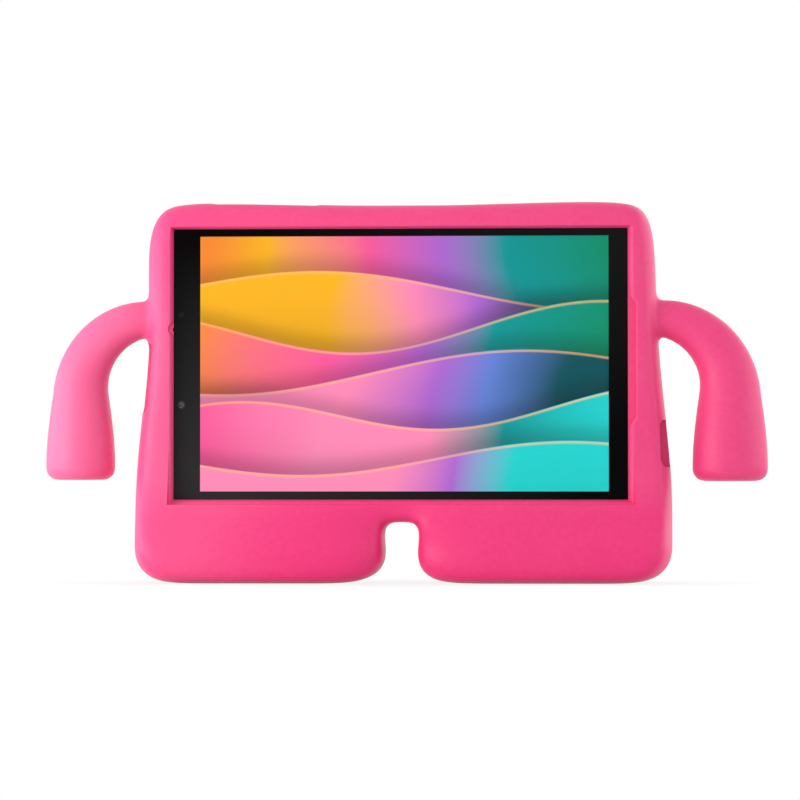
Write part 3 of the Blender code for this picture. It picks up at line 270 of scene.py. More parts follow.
# Waves from the back layer to the front: height, slope, swing, angle across, start angle, colours
WAVES = (
    (0.80, -0.02, 0.07, 4.6, 0.2, GOLD_LAYER),
    (0.62, 0.04, 0.09, 5.4, 2.6, SUNSET_LAYER),
    (0.46, 0.02, 0.08, 4.4, 4.4, DUSK_LAYER),
    (0.28, 0.06, 0.07, 6.0, 1.1, CORAL_LAYER),
    (0.12, 0.02, 0.06, 5.0, 3.4, LAGOON_LAYER),
)
PICTURE_ROUGHNESS = 0.3
SKY_WARP = 0.30
LAYER_WARP = 0.25
LAYER_LEAN = 0.10
LAYER_SHADOW = (-0.10, 0.0, 0.34)
LAYER_FADE = (0.0, 0.40, 0.22)
LAYER_BRIGHTNESS = 1.06
LAYER_EDGE = 0.002
RIM_START = (0.0, 0.004)
RIM_END = (0.008, 0.014)
RIM_STRENGTH = 0.55

# Other finishes: colour, roughness, metallic share and grain in features per metre
PLAIN_FINISHES = {
    "shell": ((0.050, 0.052, 0.056), 0.38, 0.7, 900.0),
    "keys": ((0.055, 0.057, 0.062), 0.32, 0.8, 900.0),
    "circuit_board": ((0.010, 0.060, 0.040), 0.45, 0.0, 300.0),
    "bright_steel": ((0.55, 0.55, 0.56), 0.28, 1.0, 900.0),
    "mid_plate": ((0.32, 0.33, 0.34), 0.45, 1.0, 900.0),
    "black_plastic": ((0.014, 0.014, 0.015), 0.45, 0.0, 900.0),
    "battery_wrap": ((0.020, 0.020, 0.022), 0.35, 0.0, 500.0),
    "ribbon": ((0.50, 0.22, 0.04), 0.35, 0.0, 900.0),
}
PLAIN_GRAIN = (3.0, 0.6)
PLAIN_SHADE = 0.92
PLAIN_GRAIN_SHADE = 0.10
PLAIN_PATCH_SHADE = 0.06
PLAIN_GRAIN_ROUGHNESS = 0.12
PLAIN_RELIEF = 0.00004
PLAIN_RELIEF_STRENGTH = 0.4
FINISH_OF_NODE = {
    "back_cover": "shell",
    "power_button": "keys",
    "volume_rocker": "keys",
    "mid_frame": "mid_plate",
    "shield_can": "bright_steel",
    "charging_socket": "bright_steel",
    "battery": "battery_wrap",
    "main_board": "circuit_board",
    "charging_board": "circuit_board",
    "side_key_board": "circuit_board",
    "display_ribbon": "ribbon",
    "board_link_ribbon": "ribbon",
    "battery_lead": "ribbon",
}
REAR_LENS_RADIUS = 0.004
LENS_ROUGHNESS = 0.04
LENS_COAT = 0.5
LENS_RINGS = (
    (0.0, (0.010, 0.016, 0.035)),
    (0.28, (0.006, 0.010, 0.026)),
    (0.34, (0.045, 0.045, 0.050)),
    (0.42, (0.003, 0.003, 0.004)),
    (0.90, (0.004, 0.004, 0.005)),
    (1.0, (0.10, 0.10, 0.11)),
)

# Stage and light
WHITE = (1.0, 1.0, 1.0)
BLACK = (0.0, 0.0, 0.0)
FLOOR_SIZE = 12.0
FLOOR_COLOUR = (0.82, 0.82, 0.82)
FLOOR_ROUGHNESS = 0.9
FLOOR_WHITE = 0.84
FLOOR_FADE = (0.115, 0.170)
FLOOR_FLATNESS = 4
WORLD_STRENGTH = 0.71
LAMP_AIM = (0.0, 0.0, 0.08)

# Lamps: name, place, size and power
LAMPS = (
    ("left_front", (-0.75, -0.75, 0.08), 0.35, 3.9),
    ("low_left", (-0.60, -0.30, 0.12), 0.24, 1.2),
    ("top_left", (-0.45, -0.30, 0.90), 0.50, 0.9),
    ("left_back", (-0.90, 0.10, 0.15), 0.35, 1.9),
    ("right", (1.60, -0.60, 0.40), 1.20, 2.6),
    ("right_side", (1.60, 0.10, 0.30), 1.20, 8.0),
    ("right_back", (0.90, 1.30, 0.60), 1.20, 4.5),
)

# Camera and turns
CAMERA_YAW = math.radians(2.67)
CAMERA_PITCH = math.radians(-1.71)
CAMERA_DISTANCE = 1.5
CAMERA_AIM = (-0.00238, 0.0, 0.07738)
CAMERA_LENS = 159.4
CAMERA_CLIP = 0.01
QUARTER_TURN = math.radians(90)


# Shader maths
class Value:
    """A socket of a material, with operators that add Math nodes."""

    def __init__(self, paint, socket):
        self.paint = paint
        self.socket = socket

    def __add__(self, other):
        return self.paint.math("ADD", self, other)

    def __radd__(self, other):
        return self.paint.math("ADD", other, self)

    def __sub__(self, other):
        return self.paint.math("SUBTRACT", self, other)

    def __rsub__(self, other):
        return self.paint.math("SUBTRACT", other, self)

    def __mul__(self, other):
        return self.paint.math("MULTIPLY", self, other)

    def __rmul__(self, other):
        return self.paint.math("MULTIPLY", other, self)

    def __truediv__(self, other):
        return self.paint.math("DIVIDE", self, other)

    def __abs__(self):
        return self.paint.math("ABSOLUTE", self)

    def __lt__(self, other):
        return self.paint.math("LESS_THAN", self, other)

    def root(self):
        return self.paint.math("SQRT", self)

    def sine(self):
        return self.paint.math("SINE", self)

    def between(self, low, high):
        """0 at low and 1 at high, with a smooth step between."""
        settings = {"interpolation_type": "SMOOTHSTEP", "clamp": True}
        return self.paint.node("MapRange", settings, {0: self, 1: low, 2: high, 3: 0.0, 4: 1.0})

    def band(self, low, high, strength):
        """0 at low and the strength at high, with a smooth step between."""
        return self.between(low, high) * strength


class Paint:
    """A material under construction."""

    def __init__(self, name, **constants):
        self.material = bpy.data.materials.new(name)
        self.material.use_nodes = True
        self.tree = self.material.node_tree
        self.shader = self.tree.nodes["Principled BSDF"]
        self.output = self.tree.nodes["Material Output"]
        self.place = self.node("TexCoord", out="Object")
        self.set(**constants)

    def node(self, kind, settings=None, inputs=None, out=0):
        """Adds any node: its settings first, then the values or links of its sockets."""
        new = self.tree.nodes.new("ShaderNode" + kind)
        for name, value in (settings or {}).items():
            if name == "stops":
                self.ramp_stops(new.color_ramp, value)
            else:
                setattr(new, name, value)
        for name, value in (inputs or {}).items():
            self.plug(new.inputs[name], value)
        return Value(self, new.outputs[out])

    def math(self, operation, *inputs):
        """Adds a Math node."""
        return self.node("Math", {"operation": operation}, dict(enumerate(inputs)))

    def plug(self, socket, value):
        """Links a value to a socket, or sets a constant on it."""
        if isinstance(value, Value):
            self.tree.links.new(value.socket, socket)
        elif socket.type == "RGBA" and len(value) == 3:
            socket.default_value = (*value, 1.0)
        else:
            socket.default_value = value

    def ramp_stops(self, ramp, stops):
        """Sets a colour ramp's stops."""
        while len(ramp.elements) < len(stops):
            ramp.elements.new(1.0)
        for element, (position, colour) in zip(ramp.elements, stops):
            element.position = position
            element.color = (*colour, 1.0)

    def set(self, **sockets):
        """Sets or links the shader's own sockets, named with underscores for spaces."""
        for name, value in sockets.items():
            self.plug(self.shader.inputs[name.replace("_", " ")], value)

    def axes(self):
        """The place on the piece as three values, across from the tablet's middle."""
        across, back, up = (self.node("SeparateXYZ", None, {0: self.place}, out) for out in range(3))
        return across - CENTRE, back, up

    def distance(self, place):
        """The distance from a place in X and Z."""
        across, _, up = self.axes()
        dx, dz = across - place[0], up - place[1]
        return (dx * dx + dz * dz).root()

    def noise(self, scale, detail, roughness, stretch=None):
        """Noise from 0 to 1 at a scale in features per metre."""
        where = self.place
        if stretch:
            where = self.node("Mapping", None, {"Vector": where, "Scale": stretch})
        inputs = {"Vector": where, "Scale": scale, "Detail": detail, "Roughness": roughness}
        return self.node("TexNoise", {"noise_dimensions": "3D"}, inputs)

    def cells(self, scale):
        """Distance to the nearest of scattered points."""
        return self.node("TexVoronoi", {"feature": "F1"}, {"Vector": self.place, "Scale": scale})

    def ramp(self, factor, stops):
        """A colour from a row of colours."""
        return self.node("ValToRGB", {"stops": stops}, {0: factor})

    def mix(self, factor, first, second):
        """Blends two colours."""
        return self.node("Mix", {"data_type": "RGBA"}, {0: factor, 6: first, 7: second}, 2)

    def tint(self, colour, factor):
        """Brightens or darkens a colour by a factor."""
        settings = {"data_type": "RGBA", "blend_type": "MULTIPLY"}
        grey = self.node("CombineColor", None, {0: factor, 1: factor, 2: factor})
        return self.node("Mix", settings, {0: 1.0, 6: colour, 7: grey}, 2)

    def bump(self, height, distance, strength):
        """Turns a height into a normal."""
        return self.node("Bump", None, {"Height": height, "Distance": distance, "Strength": strength})

    def seen(self):
        """1 for rays from the camera, or off or through something shiny or clear."""
        kinds = ("Is Camera Ray", "Is Glossy Ray", "Is Transmission Ray")
        camera, glossy, through = (self.node("LightPath", out=kind) for kind in kinds)
        return self.math("MAXIMUM", camera, self.math("MAXIMUM", glossy, through))

    def second(self, factor, **sockets):
        """Shows a second shader over the first by a factor."""
        other = self.tree.nodes.new("ShaderNodeBsdfPrincipled")
        for name, value in sockets.items():
            self.plug(other.inputs[name.replace("_", " ")], value)
        mixer = self.node("MixShader", None, {0: factor})
        links = self.tree.links
        links.new(self.shader.outputs[0], mixer.socket.node.inputs[1])
        links.new(other.outputs[0], mixer.socket.node.inputs[2])
        links.new(mixer.socket, self.output.inputs["Surface"])


# Meshes
def new_object(name, bm):
    """Turns a bmesh into a shown object at the origin."""
    mesh = bpy.data.meshes.new(name)
    bm.to_mesh(mesh)
    bm.free()
    obj = bpy.data.objects.new(name, mesh)
    bpy.context.scene.collection.objects.link(obj)
    return obj


def settle(obj):
    """Bakes an object's modifiers into its mesh."""
    graph = bpy.context.evaluated_depsgraph_get()
    mesh = bpy.data.meshes.new_from_object(obj.evaluated_get(graph))
    obj.modifiers.clear()
    old = obj.data
    obj.data = mesh
    bpy.data.meshes.remove(old)


def boolean(obj, tool, operation="DIFFERENCE"):
    """Adds an exact Boolean."""
    modifier = obj.modifiers.new(tool.name, "BOOLEAN")
    modifier.operation = operation
    modifier.solver = "EXACT"
    modifier.object = tool


def round_edges(bm, edges, radius, segments):
    """Bevels some edges to a round."""
    bmesh.ops.bevel(
        bm,
        geom=list(edges),
        offset=radius,
        offset_type="OFFSET",
        segments=segments,
        profile=0.5,
        affect="EDGES",
        material=-1,
    )


def edges_along(bm, axis):
    """The straight edges of a box along one axis."""
    return [
        edge
        for edge in bm.edges
        if abs((edge.verts[1].co - edge.verts[0].co).normalized()[axis]) > 1 - SAME_PLACE
    ]


def rim_edges(bm, axis, place):
    """The edges in a plane across one axis."""
    return [
        edge
        for edge in bm.edges
        if all(abs(vert.co[axis] - place) < SAME_PLACE for vert in edge.verts)
    ]


def box(low, high):
    """A box between two opposite corners."""
    bm = bmesh.new()
    low, high = Vector(low), Vector(high)
    bmesh.ops.create_cube(bm, size=1.0)
    bmesh.ops.scale(bm, vec=high - low, verts=bm.verts)
    bmesh.ops.translate(bm, vec=(low + high) / 2, verts=bm.verts)
    return bm


def flared_box(low, high, axis, outward, flare):
    """A box with rounded edges along one axis and a wider outer end."""
    bm = box(low, high)
    round_edges(bm, edges_along(bm, axis), SLOT_CORNER, CORNER_STEPS)
    middle = (Vector(low) + Vector(high)) / 2
    outer = high[axis] if outward > 0 else low[axis]
    for vert in bm.verts:
        if abs(vert.co[axis] - outer) < SAME_PLACE:
            for side in {0, 1, 2} - {axis}:
                vert.co[side] += math.copysign(flare, vert.co[side] - middle[side])
    return bm


def cylinder(radius, end_radius, start, depth, place):
    """A cylinder or cone along +Y from a start, round a place in X and Z."""
    bm = bmesh.new()
    bmesh.ops.create_cone(
        bm, cap_ends=True, segments=ROUND_SIDES, radius1=radius, radius2=end_radius, depth=depth
    )
    bmesh.ops.rotate(bm, matrix=Matrix.Rotation(-QUARTER_TURN, 3, "X"), verts=bm.verts)
    middle = (place[0], start + depth / 2, place[1])
    bmesh.ops.translate(bm, vec=middle, verts=bm.verts)
    return bm


def ease(share):
    """0 below 0, 1 above 1, and a smooth step between."""
    share = min(max(share, 0.0), 1.0)
    return share * share * (3 - 2 * share)


def half_width(height):
    """Half the body's width at a height."""
    return BODY_HALF_WIDTH + FOOT_SPREAD * ease((SPREAD_TOP - height) / (SPREAD_TOP - SPREAD_FULL))


# The foam case
CAGE_ROWS = (
    0.0,
    SOLE_ROUND,
    GAP_HEIGHT - GAP_CORNER,
    GAP_HEIGHT,
    FOOT_TOP,
    WAIST_HEIGHT,
    CHEST_HEIGHT,
    BODY_TOP - TOP_CORNER,
    BODY_TOP,
)
LEFT_SOLE_SHIFTS = (0.0, LEFT_TOE_PULL, LEFT_FLAT_INSET, -SOLE_FLAT_OUTSET, -OUTER_TOE_PULL)
RIGHT_SOLE_SHIFTS = (0.0, RIGHT_TOE_PULL, RIGHT_FLAT_INSET, -SOLE_FLAT_OUTSET, -OUTER_TOE_PULL)
CAGE_COLUMNS = 4
CAGE_LAYERS = 3
GAP_ROW = 3
LAST_ROW = len(CAGE_ROWS) - 1


def cage_point(column, row, layer):
    """The place of a cage corner: its column out from the middle, its row up, its layer back."""
    side = -1 if column < 0 else 1
    column = abs(column)
    height = CAGE_ROWS[row]
    flank = half_width(height)
    toe = GAP_HALF_WIDTH + INNER_TOE
    inner = LEFT_FLANK_COLUMN if side < 0 else RIGHT_FLANK_COLUMN
    if row in (0, LAST_ROW):
        inner = END_COLUMN
    across = (0.0, GAP_HALF_WIDTH, toe, flank - inner, flank)[column]
    share = ease((FOOT_TOP - height) / (FOOT_TOP - FOOT_FULL))
    front = TORSO_FRONT + (-FOOT_DEPTH / 2 - TORSO_FRONT) * share
    back = TORSO_BACK + (FOOT_DEPTH / 2 - TORSO_BACK) * share
    round_in = EDGE_SHARE * (back - front)
    depth = (front, front + round_in, back - round_in, back)[layer]
    outer_layer = layer in (0, CAGE_LAYERS)
    if column <= 1 and row <= GAP_ROW and outer_layer:
        depth += GAP_FRONT_ROUND if layer == 0 else -GAP_FRONT_ROUND
    if column == CAGE_COLUMNS and outer_layer:
        across -= FLANK_ROUND
    if row == LAST_ROW and outer_layer:
        height -= TOP_ROUND
    if row == LAST_ROW and column == CAGE_COLUMNS - 1:
        height += CORNER_BUMPER
    if row == LAST_ROW and column == CAGE_COLUMNS:
        across -= CORNER_PULL
        height -= CORNER_PULL - CORNER_BUMPER
    if row == LAST_ROW and column == CAGE_COLUMNS and side < 0:
        across += LEFT_CORNER_FULLNESS
    if row == LAST_ROW - 1 and column == CAGE_COLUMNS:
        across += LEFT_CORNER_OUT if side < 0 else RIGHT_CORNER_OUT
    if row in (GAP_ROW - 1, GAP_ROW) and column == 1 and side < 0:
        across += LEFT_GAP_PULL
    if row == 1 and column == 1 and side > 0:
        across -= RIGHT_TOE_BULGE
    if row == 0:
        across += (LEFT_SOLE_SHIFTS if side < 0 else RIGHT_SOLE_SHIFTS)[column]
    return Vector((side * across, depth, height))


def foam_cage():
    """The torso and its two feet as a coarse closed cage."""
    bm = bmesh.new()
    bmesh.ops.create_grid(bm, x_segments=2 * CAGE_COLUMNS, y_segments=LAST_ROW, size=0.5)
    bmesh.ops.translate(bm, vec=(0, 0.5, 0), verts=bm.verts)
    bmesh.ops.scale(bm, vec=(2 * CAGE_COLUMNS, LAST_ROW, 1), verts=bm.verts)
    middles = {face: face.calc_center_median() for face in bm.faces}
    between_feet = [face for face, at in middles.items() if abs(at.x) < 1 and at.y < GAP_ROW]
    bmesh.ops.delete(bm, geom=between_feet, context="FACES")
    sheet = list(bm.faces)
    for layer in range(CAGE_LAYERS):
        made = bmesh.ops.extrude_face_region(bm, geom=sheet, use_keep_orig=layer == 0)
        moved = [item for item in made["geom"] if isinstance(item, bmesh.types.BMVert)]
        bmesh.ops.translate(bm, vec=(0, 0, 1), verts=moved)
        if layer:
            bmesh.ops.delete(bm, geom=sheet, context="FACES")
        sheet = [item for item in made["geom"] if isinstance(item, bmesh.types.BMFace)]
    for vert in bm.verts:
        vert.co = cage_point(*(round(value) for value in vert.co))
    bmesh.ops.recalc_face_normals(bm, faces=bm.faces)
    return bm


def arm_stations(side):
    """Points down one arm, drawn at the right, each with its radius and its direction."""
    root = half_width(SHOULDER_HEIGHT)
    reach = ARM_REACH + side * SIDE_REACH
    elbow_radius = ELBOW_RADIUS + side * SIDE_THICKNESS
    hand_radius = HAND_RADIUS + side * SIDE_THICKNESS
    hand_height = HAND_HEIGHT - side * SIDE_DROP
    yield root - SHOULDER_DEPTH, SHOULDER_HEIGHT, SHOULDER_RADIUS + SHOULDER_FLARE, 0.0
    fall = SHOULDER_HEIGHT - ELBOW_HEIGHT
    for step in range(ARM_STEPS + 1):
        share = step / ARM_STEPS
        angle = QUARTER_TURN * share
        out = root + (reach - root) * math.sin(angle)
        height = ELBOW_HEIGHT + fall * math.cos(angle)
        turn = math.atan2(fall * math.sin(angle), (reach - root) * math.cos(angle))
        yield out, height, SHOULDER_RADIUS + (elbow_radius - SHOULDER_RADIUS) * share, turn
    rim_top = hand_height + HAND_EDGE
    for step in range(1, FOREARM_STEPS + 1):
        share = step / FOREARM_STEPS
        height = ELBOW_HEIGHT + (rim_top - ELBOW_HEIGHT) * share
        swell = math.sin(QUARTER_TURN * share)
        radius = elbow_radius + (hand_radius - elbow_radius) * swell
        yield reach, height, radius, QUARTER_TURN
    for step in range(1, RIM_STEPS + 1):
        angle = QUARTER_TURN * step / RIM_STEPS
        height = rim_top - HAND_EDGE * math.sin(angle)
        yield reach, height, hand_radius - HAND_EDGE * (1 - math.cos(angle)), QUARTER_TURN


def ring_matrix(x, z, radius, fall):
    """Places a unit circle of the YZ plane on the arm's line."""
    turn = Matrix.Rotation(fall, 4, "Y")
    flat = Matrix.Diagonal((radius, radius * ARM_FLATNESS, radius, 1.0))
    return Matrix.Translation((x, TORSO_MIDDLE, z)) @ turn @ flat


def arm(side):
    """One arm: a circle that is extruded along the arm's line, with both ends closed."""
    bm = bmesh.new()
    bmesh.ops.create_circle(bm, segments=ARM_SIDES, radius=1.0)
    bmesh.ops.rotate(bm, matrix=Matrix.Rotation(QUARTER_TURN, 3, "Y"), verts=bm.verts)
    stations = list(arm_stations(side))
    last = ring_matrix(*stations[0])
    bmesh.ops.transform(bm, matrix=last, verts=bm.verts)
    ring = list(bm.edges)
    first_ring = ring
    for station in stations[1:]:
        made = bmesh.ops.extrude_edge_only(bm, edges=ring)["geom"]
        here = ring_matrix(*station)
        moved = [item for item in made if isinstance(item, bmesh.types.BMVert)]
        bmesh.ops.transform(bm, matrix=here @ last.inverted(), verts=moved)
        ring = [item for item in made if isinstance(item, bmesh.types.BMEdge)]
        last = here
    for end in (first_ring, ring):
        bmesh.ops.contextual_create(bm, geom=end)
    if side < 0:
        bmesh.ops.scale(bm, vec=(-1, 1, 1), verts=bm.verts)
    bmesh.ops.recalc_face_normals(bm, faces=bm.faces)
    return bm


def window_tool():
    """What opens the window: straight at the glass, then widening in a round lip."""
    inner = POCKET_FRONT + RIM_WALL
    bm = box((WINDOW_LEFT, POCKET_FRONT, WINDOW_BOTTOM), (WINDOW_RIGHT, inner, WINDOW_TOP))
    open_round(bm, LIP_THICKNESS, LIP_ROUNDS, LIP_STEPS)
    return bm


def open_round(bm, thickness, rounds, steps):
    """Carries a tool's front out through the foam, with a round edge of its own width per side."""
    depth, wider = 0.0, 0.0
    for step in range(1, steps + 1):
        angle = QUARTER_TURN * step / steps
        grow_front(bm, thickness * math.sin(angle) - depth, 1 - math.cos(angle) - wider, rounds)
        depth, wider = thickness * math.sin(angle), 1 - math.cos(angle)
    grow_front(bm, CLEAR_OF_FOAM, 0.0, rounds)


def grow_front(bm, forward, wider, rounds):
    """Extrudes the face that looks to -Y forwards, and widens it by a share of the rounds."""
    front = min(bm.faces, key=lambda face: face.calc_center_median().y)
    middle = front.calc_center_median()
    made = bmesh.ops.extrude_face_region(bm, geom=[front])
    if front.is_valid:
        bmesh.ops.delete(bm, geom=[front], context="FACES_ONLY")
    for item in made["geom"]:
        if isinstance(item, bmesh.types.BMVert):
            right, high = item.co.x > middle.x, item.co.z > middle.z
            item.co.x += wider * (rounds["right"] if right else -rounds["left"])
            item.co.y -= forward
            item.co.z += wider * (rounds["up"] if high else -rounds["down"])


def pocket_tool():
    """What hollows the pocket behind the lip."""
    half_length = TABLET_LENGTH / 2 + FIT_GAP
    half_height = TABLET_WIDTH / 2 + FIT_GAP
    back = GLASS_FRONT + TABLET_THICKNESS + FIT_GAP
    bm = box(
        (-half_length, POCKET_FRONT, TABLET_MIDDLE - half_height),
        (half_length, back, TABLET_MIDDLE + half_height),
    )
    round_edges(bm, edges_along(bm, 1), TABLET_CORNER, CORNER_STEPS)
    round_edges(bm, rim_edges(bm, 1, back), TABLET_BACK_EDGE, CORNER_STEPS)
    return bm


def relief_tool():
    """What cuts the long finger relief into the lip at the port end, with slanted ends."""
    low, high = RELIEF_MIDDLE - RELIEF_HALF_HEIGHT, RELIEF_MIDDLE + RELIEF_HALF_HEIGHT
    bm = box(
        (WINDOW_RIGHT - RELIEF_WIDTH, TORSO_FRONT + RELIEF_ROUND, low),
        (WINDOW_RIGHT + RELIEF_WIDTH, POCKET_FRONT - RELIEF_FLOOR, high),
    )
    for vert in bm.verts:
        if vert.co.x < WINDOW_RIGHT:
            vert.co.z += math.copysign(2 * RELIEF_SLANT, vert.co.z - RELIEF_MIDDLE)
    open_round(bm, RELIEF_ROUND, RELIEF_ROUNDS, RELIEF_STEPS)
    return bm


def notch_tool():
    """What scoops the small notch into the lip at the camera end."""
    bm = bmesh.new()
    bmesh.ops.create_uvsphere(
        bm, u_segments=ROUND_SIDES, v_segments=ROUND_SIDES // 2, radius=NOTCH_RADIUS
    )
    bmesh.ops.translate(bm, vec=NOTCH_PLACE, verts=bm.verts)
    return bm


def slot_tools():
    """What opens the slots in the flanks and the top, and the camera's hole."""
    front = GLASS_FRONT + FIT_GAP - SLOT_FORWARD
    back = GLASS_FRONT + TABLET_THICKNESS - FIT_GAP
    end = TABLET_LENGTH / 2 - RIM_WALL
    port_end = half_width(PORT_SLOT[0]) + FIT_GAP
    low, high = (end, front - PORT_SLOT_FORWARD, PORT_SLOT[0]), (port_end, back, PORT_SLOT[1])
    port = flared_box(low, high, 0, 1, SLOT_FLARE)
    for vert in port.verts:
        if vert.co.y < BUTTON_MIDDLE:
            vert.co.y -= PORT_SLOT_SLANT * (PORT_SLOT[1] - vert.co.z) / (PORT_SLOT[1] - PORT_SLOT[0])
    yield port
    jack_end = half_width(JACK_SLOT[0]) + FIT_GAP
    yield flared_box((-jack_end, front, JACK_SLOT[0]), (-end, back, JACK_SLOT[1]), 0, -1, SLOT_FLARE)
    top = TABLET_MIDDLE + TABLET_WIDTH / 2
    half = BUTTON_SLOT_WIDTH / 2
    yield flared_box(
        (BUTTON_SLOT[0], BUTTON_MIDDLE - half, top - RIM_WALL),
        (BUTTON_SLOT[1], BUTTON_MIDDLE + half, BODY_TOP + CORNER_BUMPER),
        2,
        1,
        SLOT_FLARE,
    )
    hole_start = GLASS_FRONT + TABLET_THICKNESS - RIM_WALL
    hole_end = CAMERA_HOLE_RADIUS + CAMERA_HOLE_FLARE
    hole_depth = TORSO_BACK - hole_start + FIT_GAP
    yield cylinder(CAMERA_HOLE_RADIUS, hole_end, hole_start, hole_depth, REAR_CAMERA_PLACE)


def near_shoulder(point):
    """Whether a point is on the arm's root, where it runs into the flank."""
    along = abs(point.x) - half_width(SHOULDER_HEIGHT)
    round_arm = math.hypot(point.y - TORSO_MIDDLE, point.z - SHOULDER_HEIGHT)
    return abs(along) < SHOULDER_BAND and round_arm < SHOULDER_RADIUS + SHOULDER_BAND


def smooth_foam(obj):
    """Softens every edge a little, and the arms' roots more."""
    bm = bmesh.new()
    bm.from_mesh(obj.data)
    roots = [vert for vert in bm.verts if near_shoulder(vert.co)]
    for verts, times in ((roots, SHOULDER_SMOOTHING), (bm.verts, FOAM_SMOOTHING)):
        for _ in range(times):
            bmesh.ops.smooth_vert(
                bm,
                verts=verts,
                factor=SMOOTHING_SHARE,
                use_axis_x=True,
                use_axis_y=True,
                use_axis_z=True,
            )
    bm.to_mesh(obj.data)
    bm.free()


def drop_spare_corners(bm):
    """Dissolves corners that only two edges meet, which would leave slivers once triangulated."""
    spare = [vert for vert in bm.verts if len(vert.link_edges) == 2]
    bmesh.ops.dissolve_verts(bm, verts=spare)


def finish_mesh(obj):
    """Moves the foam to its place, and shades it smooth but for its sharp edges."""
    bm = bmesh.new()
    bm.from_mesh(obj.data)
    bmesh.ops.remove_doubles(bm, verts=bm.verts, dist=SAME_PLACE)
    drop_spare_corners(bm)
    bmesh.ops.translate(bm, vec=(CENTRE, 0, 0), verts=bm.verts)
    bmesh.ops.recalc_face_normals(bm, faces=bm.faces)
    for face in bm.faces:
        face.smooth = True
    for edge in bm.edges:
        edge.smooth = edge.calc_face_angle(0.0) < SHARP_ANGLE
    bm.to_mesh(obj.data)
    bm.free()


def make_foam():
    """The moulded case: body and arms joined and evened out, then opened by the tools."""
    foam = new_object("foam_case_soft", foam_cage())
    smooth = foam.modifiers.new("smooth", "SUBSURF")
    smooth.levels = BODY_SUBDIVISION
    smooth.render_levels = BODY_SUBDIVISION
    helpers = []
    for side in (1, -1):
        helpers.append(new_object("arm", arm(side)))
        boolean(foam, helpers[-1], "UNION")
    even = foam.modifiers.new("even", "REMESH")
    even.mode = "VOXEL"
    even.voxel_size = FOAM_VOXEL
    settle(foam)
    smooth_foam(foam)
    for bm in (pocket_tool(), window_tool(), relief_tool(), notch_tool(), *slot_tools()):
        bmesh.ops.recalc_face_normals(bm, faces=bm.faces)
        helpers.append(new_object("tool", bm))
        boolean(foam, helpers[-1])
    settle(foam)
    for helper in helpers:
        bpy.data.objects.remove(helper, do_unlink=True)
    finish_mesh(foam)
    foam.data.materials.clear()
    foam.data.materials.append(foam_paint())
    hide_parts("foam_case")
    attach(foam, "case")


# Finishes
def foam_paint():
    """Satin pink foam with a very fine grain, faint mottling, a few scuffs, and a painted sheen: a
    paler pink where the lamps at the left would light it.
    """
    paint = Paint(
        "pink_foam",
        Specular_IOR_Level=FOAM_SHINE,
        Sheen_Weight=FOAM_SHEEN,
        Sheen_Roughness=FOAM_SHEEN_ROUGHNESS,
        Sheen_Tint=FOAM_SHEEN_TINT,
    )
    broad = paint.noise(*BROAD_NOISE)
    mottle = paint.noise(*MOTTLE_NOISE)
    grain = paint.noise(*GRAIN_NOISE)
    scuff = paint.noise(*SCUFF_NOISE, stretch=SCUFF_STRETCH).between(*SCUFF_BAND)
    across, _, up = paint.axes()
    # Painted sheen: paler pink painted where the lamps at the left would light the foam, a little
    # uneven
    painted_sheen = up.band(*BODY_PAINTED_SHEEN) + across.band(*LEFT_PAINTED_SHEEN) * up.between(*LEFT_PAINTED_SHEEN_FADE)
    painted_sheen += (across - up.band(*ARM_ARCH, ARM_ARCH_SHIFT)).band(*ARM_PAINTED_SHEEN)
    painted_sheen += (broad + mottle - 1.0) * PAINTED_SHEEN_UNEVENNESS
    pink = paint.tint(FOAM_PINK, FOAM_SHADE + mottle * FOAM_MOTTLE_SHADE)
    pores = paint.cells(PORE_SCALE).between(*PORE_BAND)
    height = grain * GRAIN_HEIGHT + mottle * MOTTLE_HEIGHT + pores * PORE_HEIGHT
    roughness = FOAM_ROUGHNESS + mottle * FOAM_MOTTLE_ROUGHNESS + scuff * SCUFF_ROUGHNESS
    paint.set(
        # The pale pink is mixed in by the painted sheen and by the real scuffs
        Base_Color=paint.mix(painted_sheen + scuff * SCUFF_PALENESS, pink, PAINTED_SHEEN_AND_SCUFF_PINK),
        Roughness=roughness,
        Normal=paint.bump(height, FOAM_RELIEF, FOAM_RELIEF_STRENGTH),
    )
    return paint.material


def glass_paint():
    """Clear glass over the display and the camera, and black ink behind the border, with a painted
    reflection that lightens the ink towards the lower left.
    """
    paint = Paint(
        "cover_glass",
        Base_Color=WHITE,
        Roughness=0.0,
        Transmission_Weight=1.0,
        IOR=GLASS_INDEX,
    )
    across, _, up = paint.axes()
    picture = (abs(across - DISPLAY_OFFSET) < DISPLAY_LENGTH / 2) * (
        abs(up - TABLET_MIDDLE) < DISPLAY_WIDTH / 2
    )
    eye = paint.distance(EYE_PLACE)
    clear = picture + (eye < EYE_RADIUS)
    sensor = (paint.distance(SENSOR_PLACE) < SENSOR_RADIUS) * SENSOR_GREY
    smudge = paint.noise(*SMUDGE_NOISE)
    ring = (abs(eye - EYE_RING) < EYE_RING_WIDTH) * EYE_RING_GREY
    # Painted reflection: the ink is painted lighter towards the lower left
    aside, above = across / PAINTED_REFLECTION_REACH[0], (up - TABLET_MIDDLE) / PAINTED_REFLECTION_REACH[1]
    slope = aside * above * PAINTED_REFLECTION_CORNERS - aside * PAINTED_REFLECTION_ASIDE - above * PAINTED_REFLECTION_ABOVE
    grey = paint.math("MAXIMUM", INK_GREY + slope, 0.0) + ring + sensor
    paint.second(
        1 - clear,
        Base_Color=paint.tint(INK_TINT, grey),
        Roughness=INK_ROUGHNESS + smudge * SMUDGE_ROUGHNESS,
        Specular_IOR_Level=INK_SHINE,
    )
    return paint.material


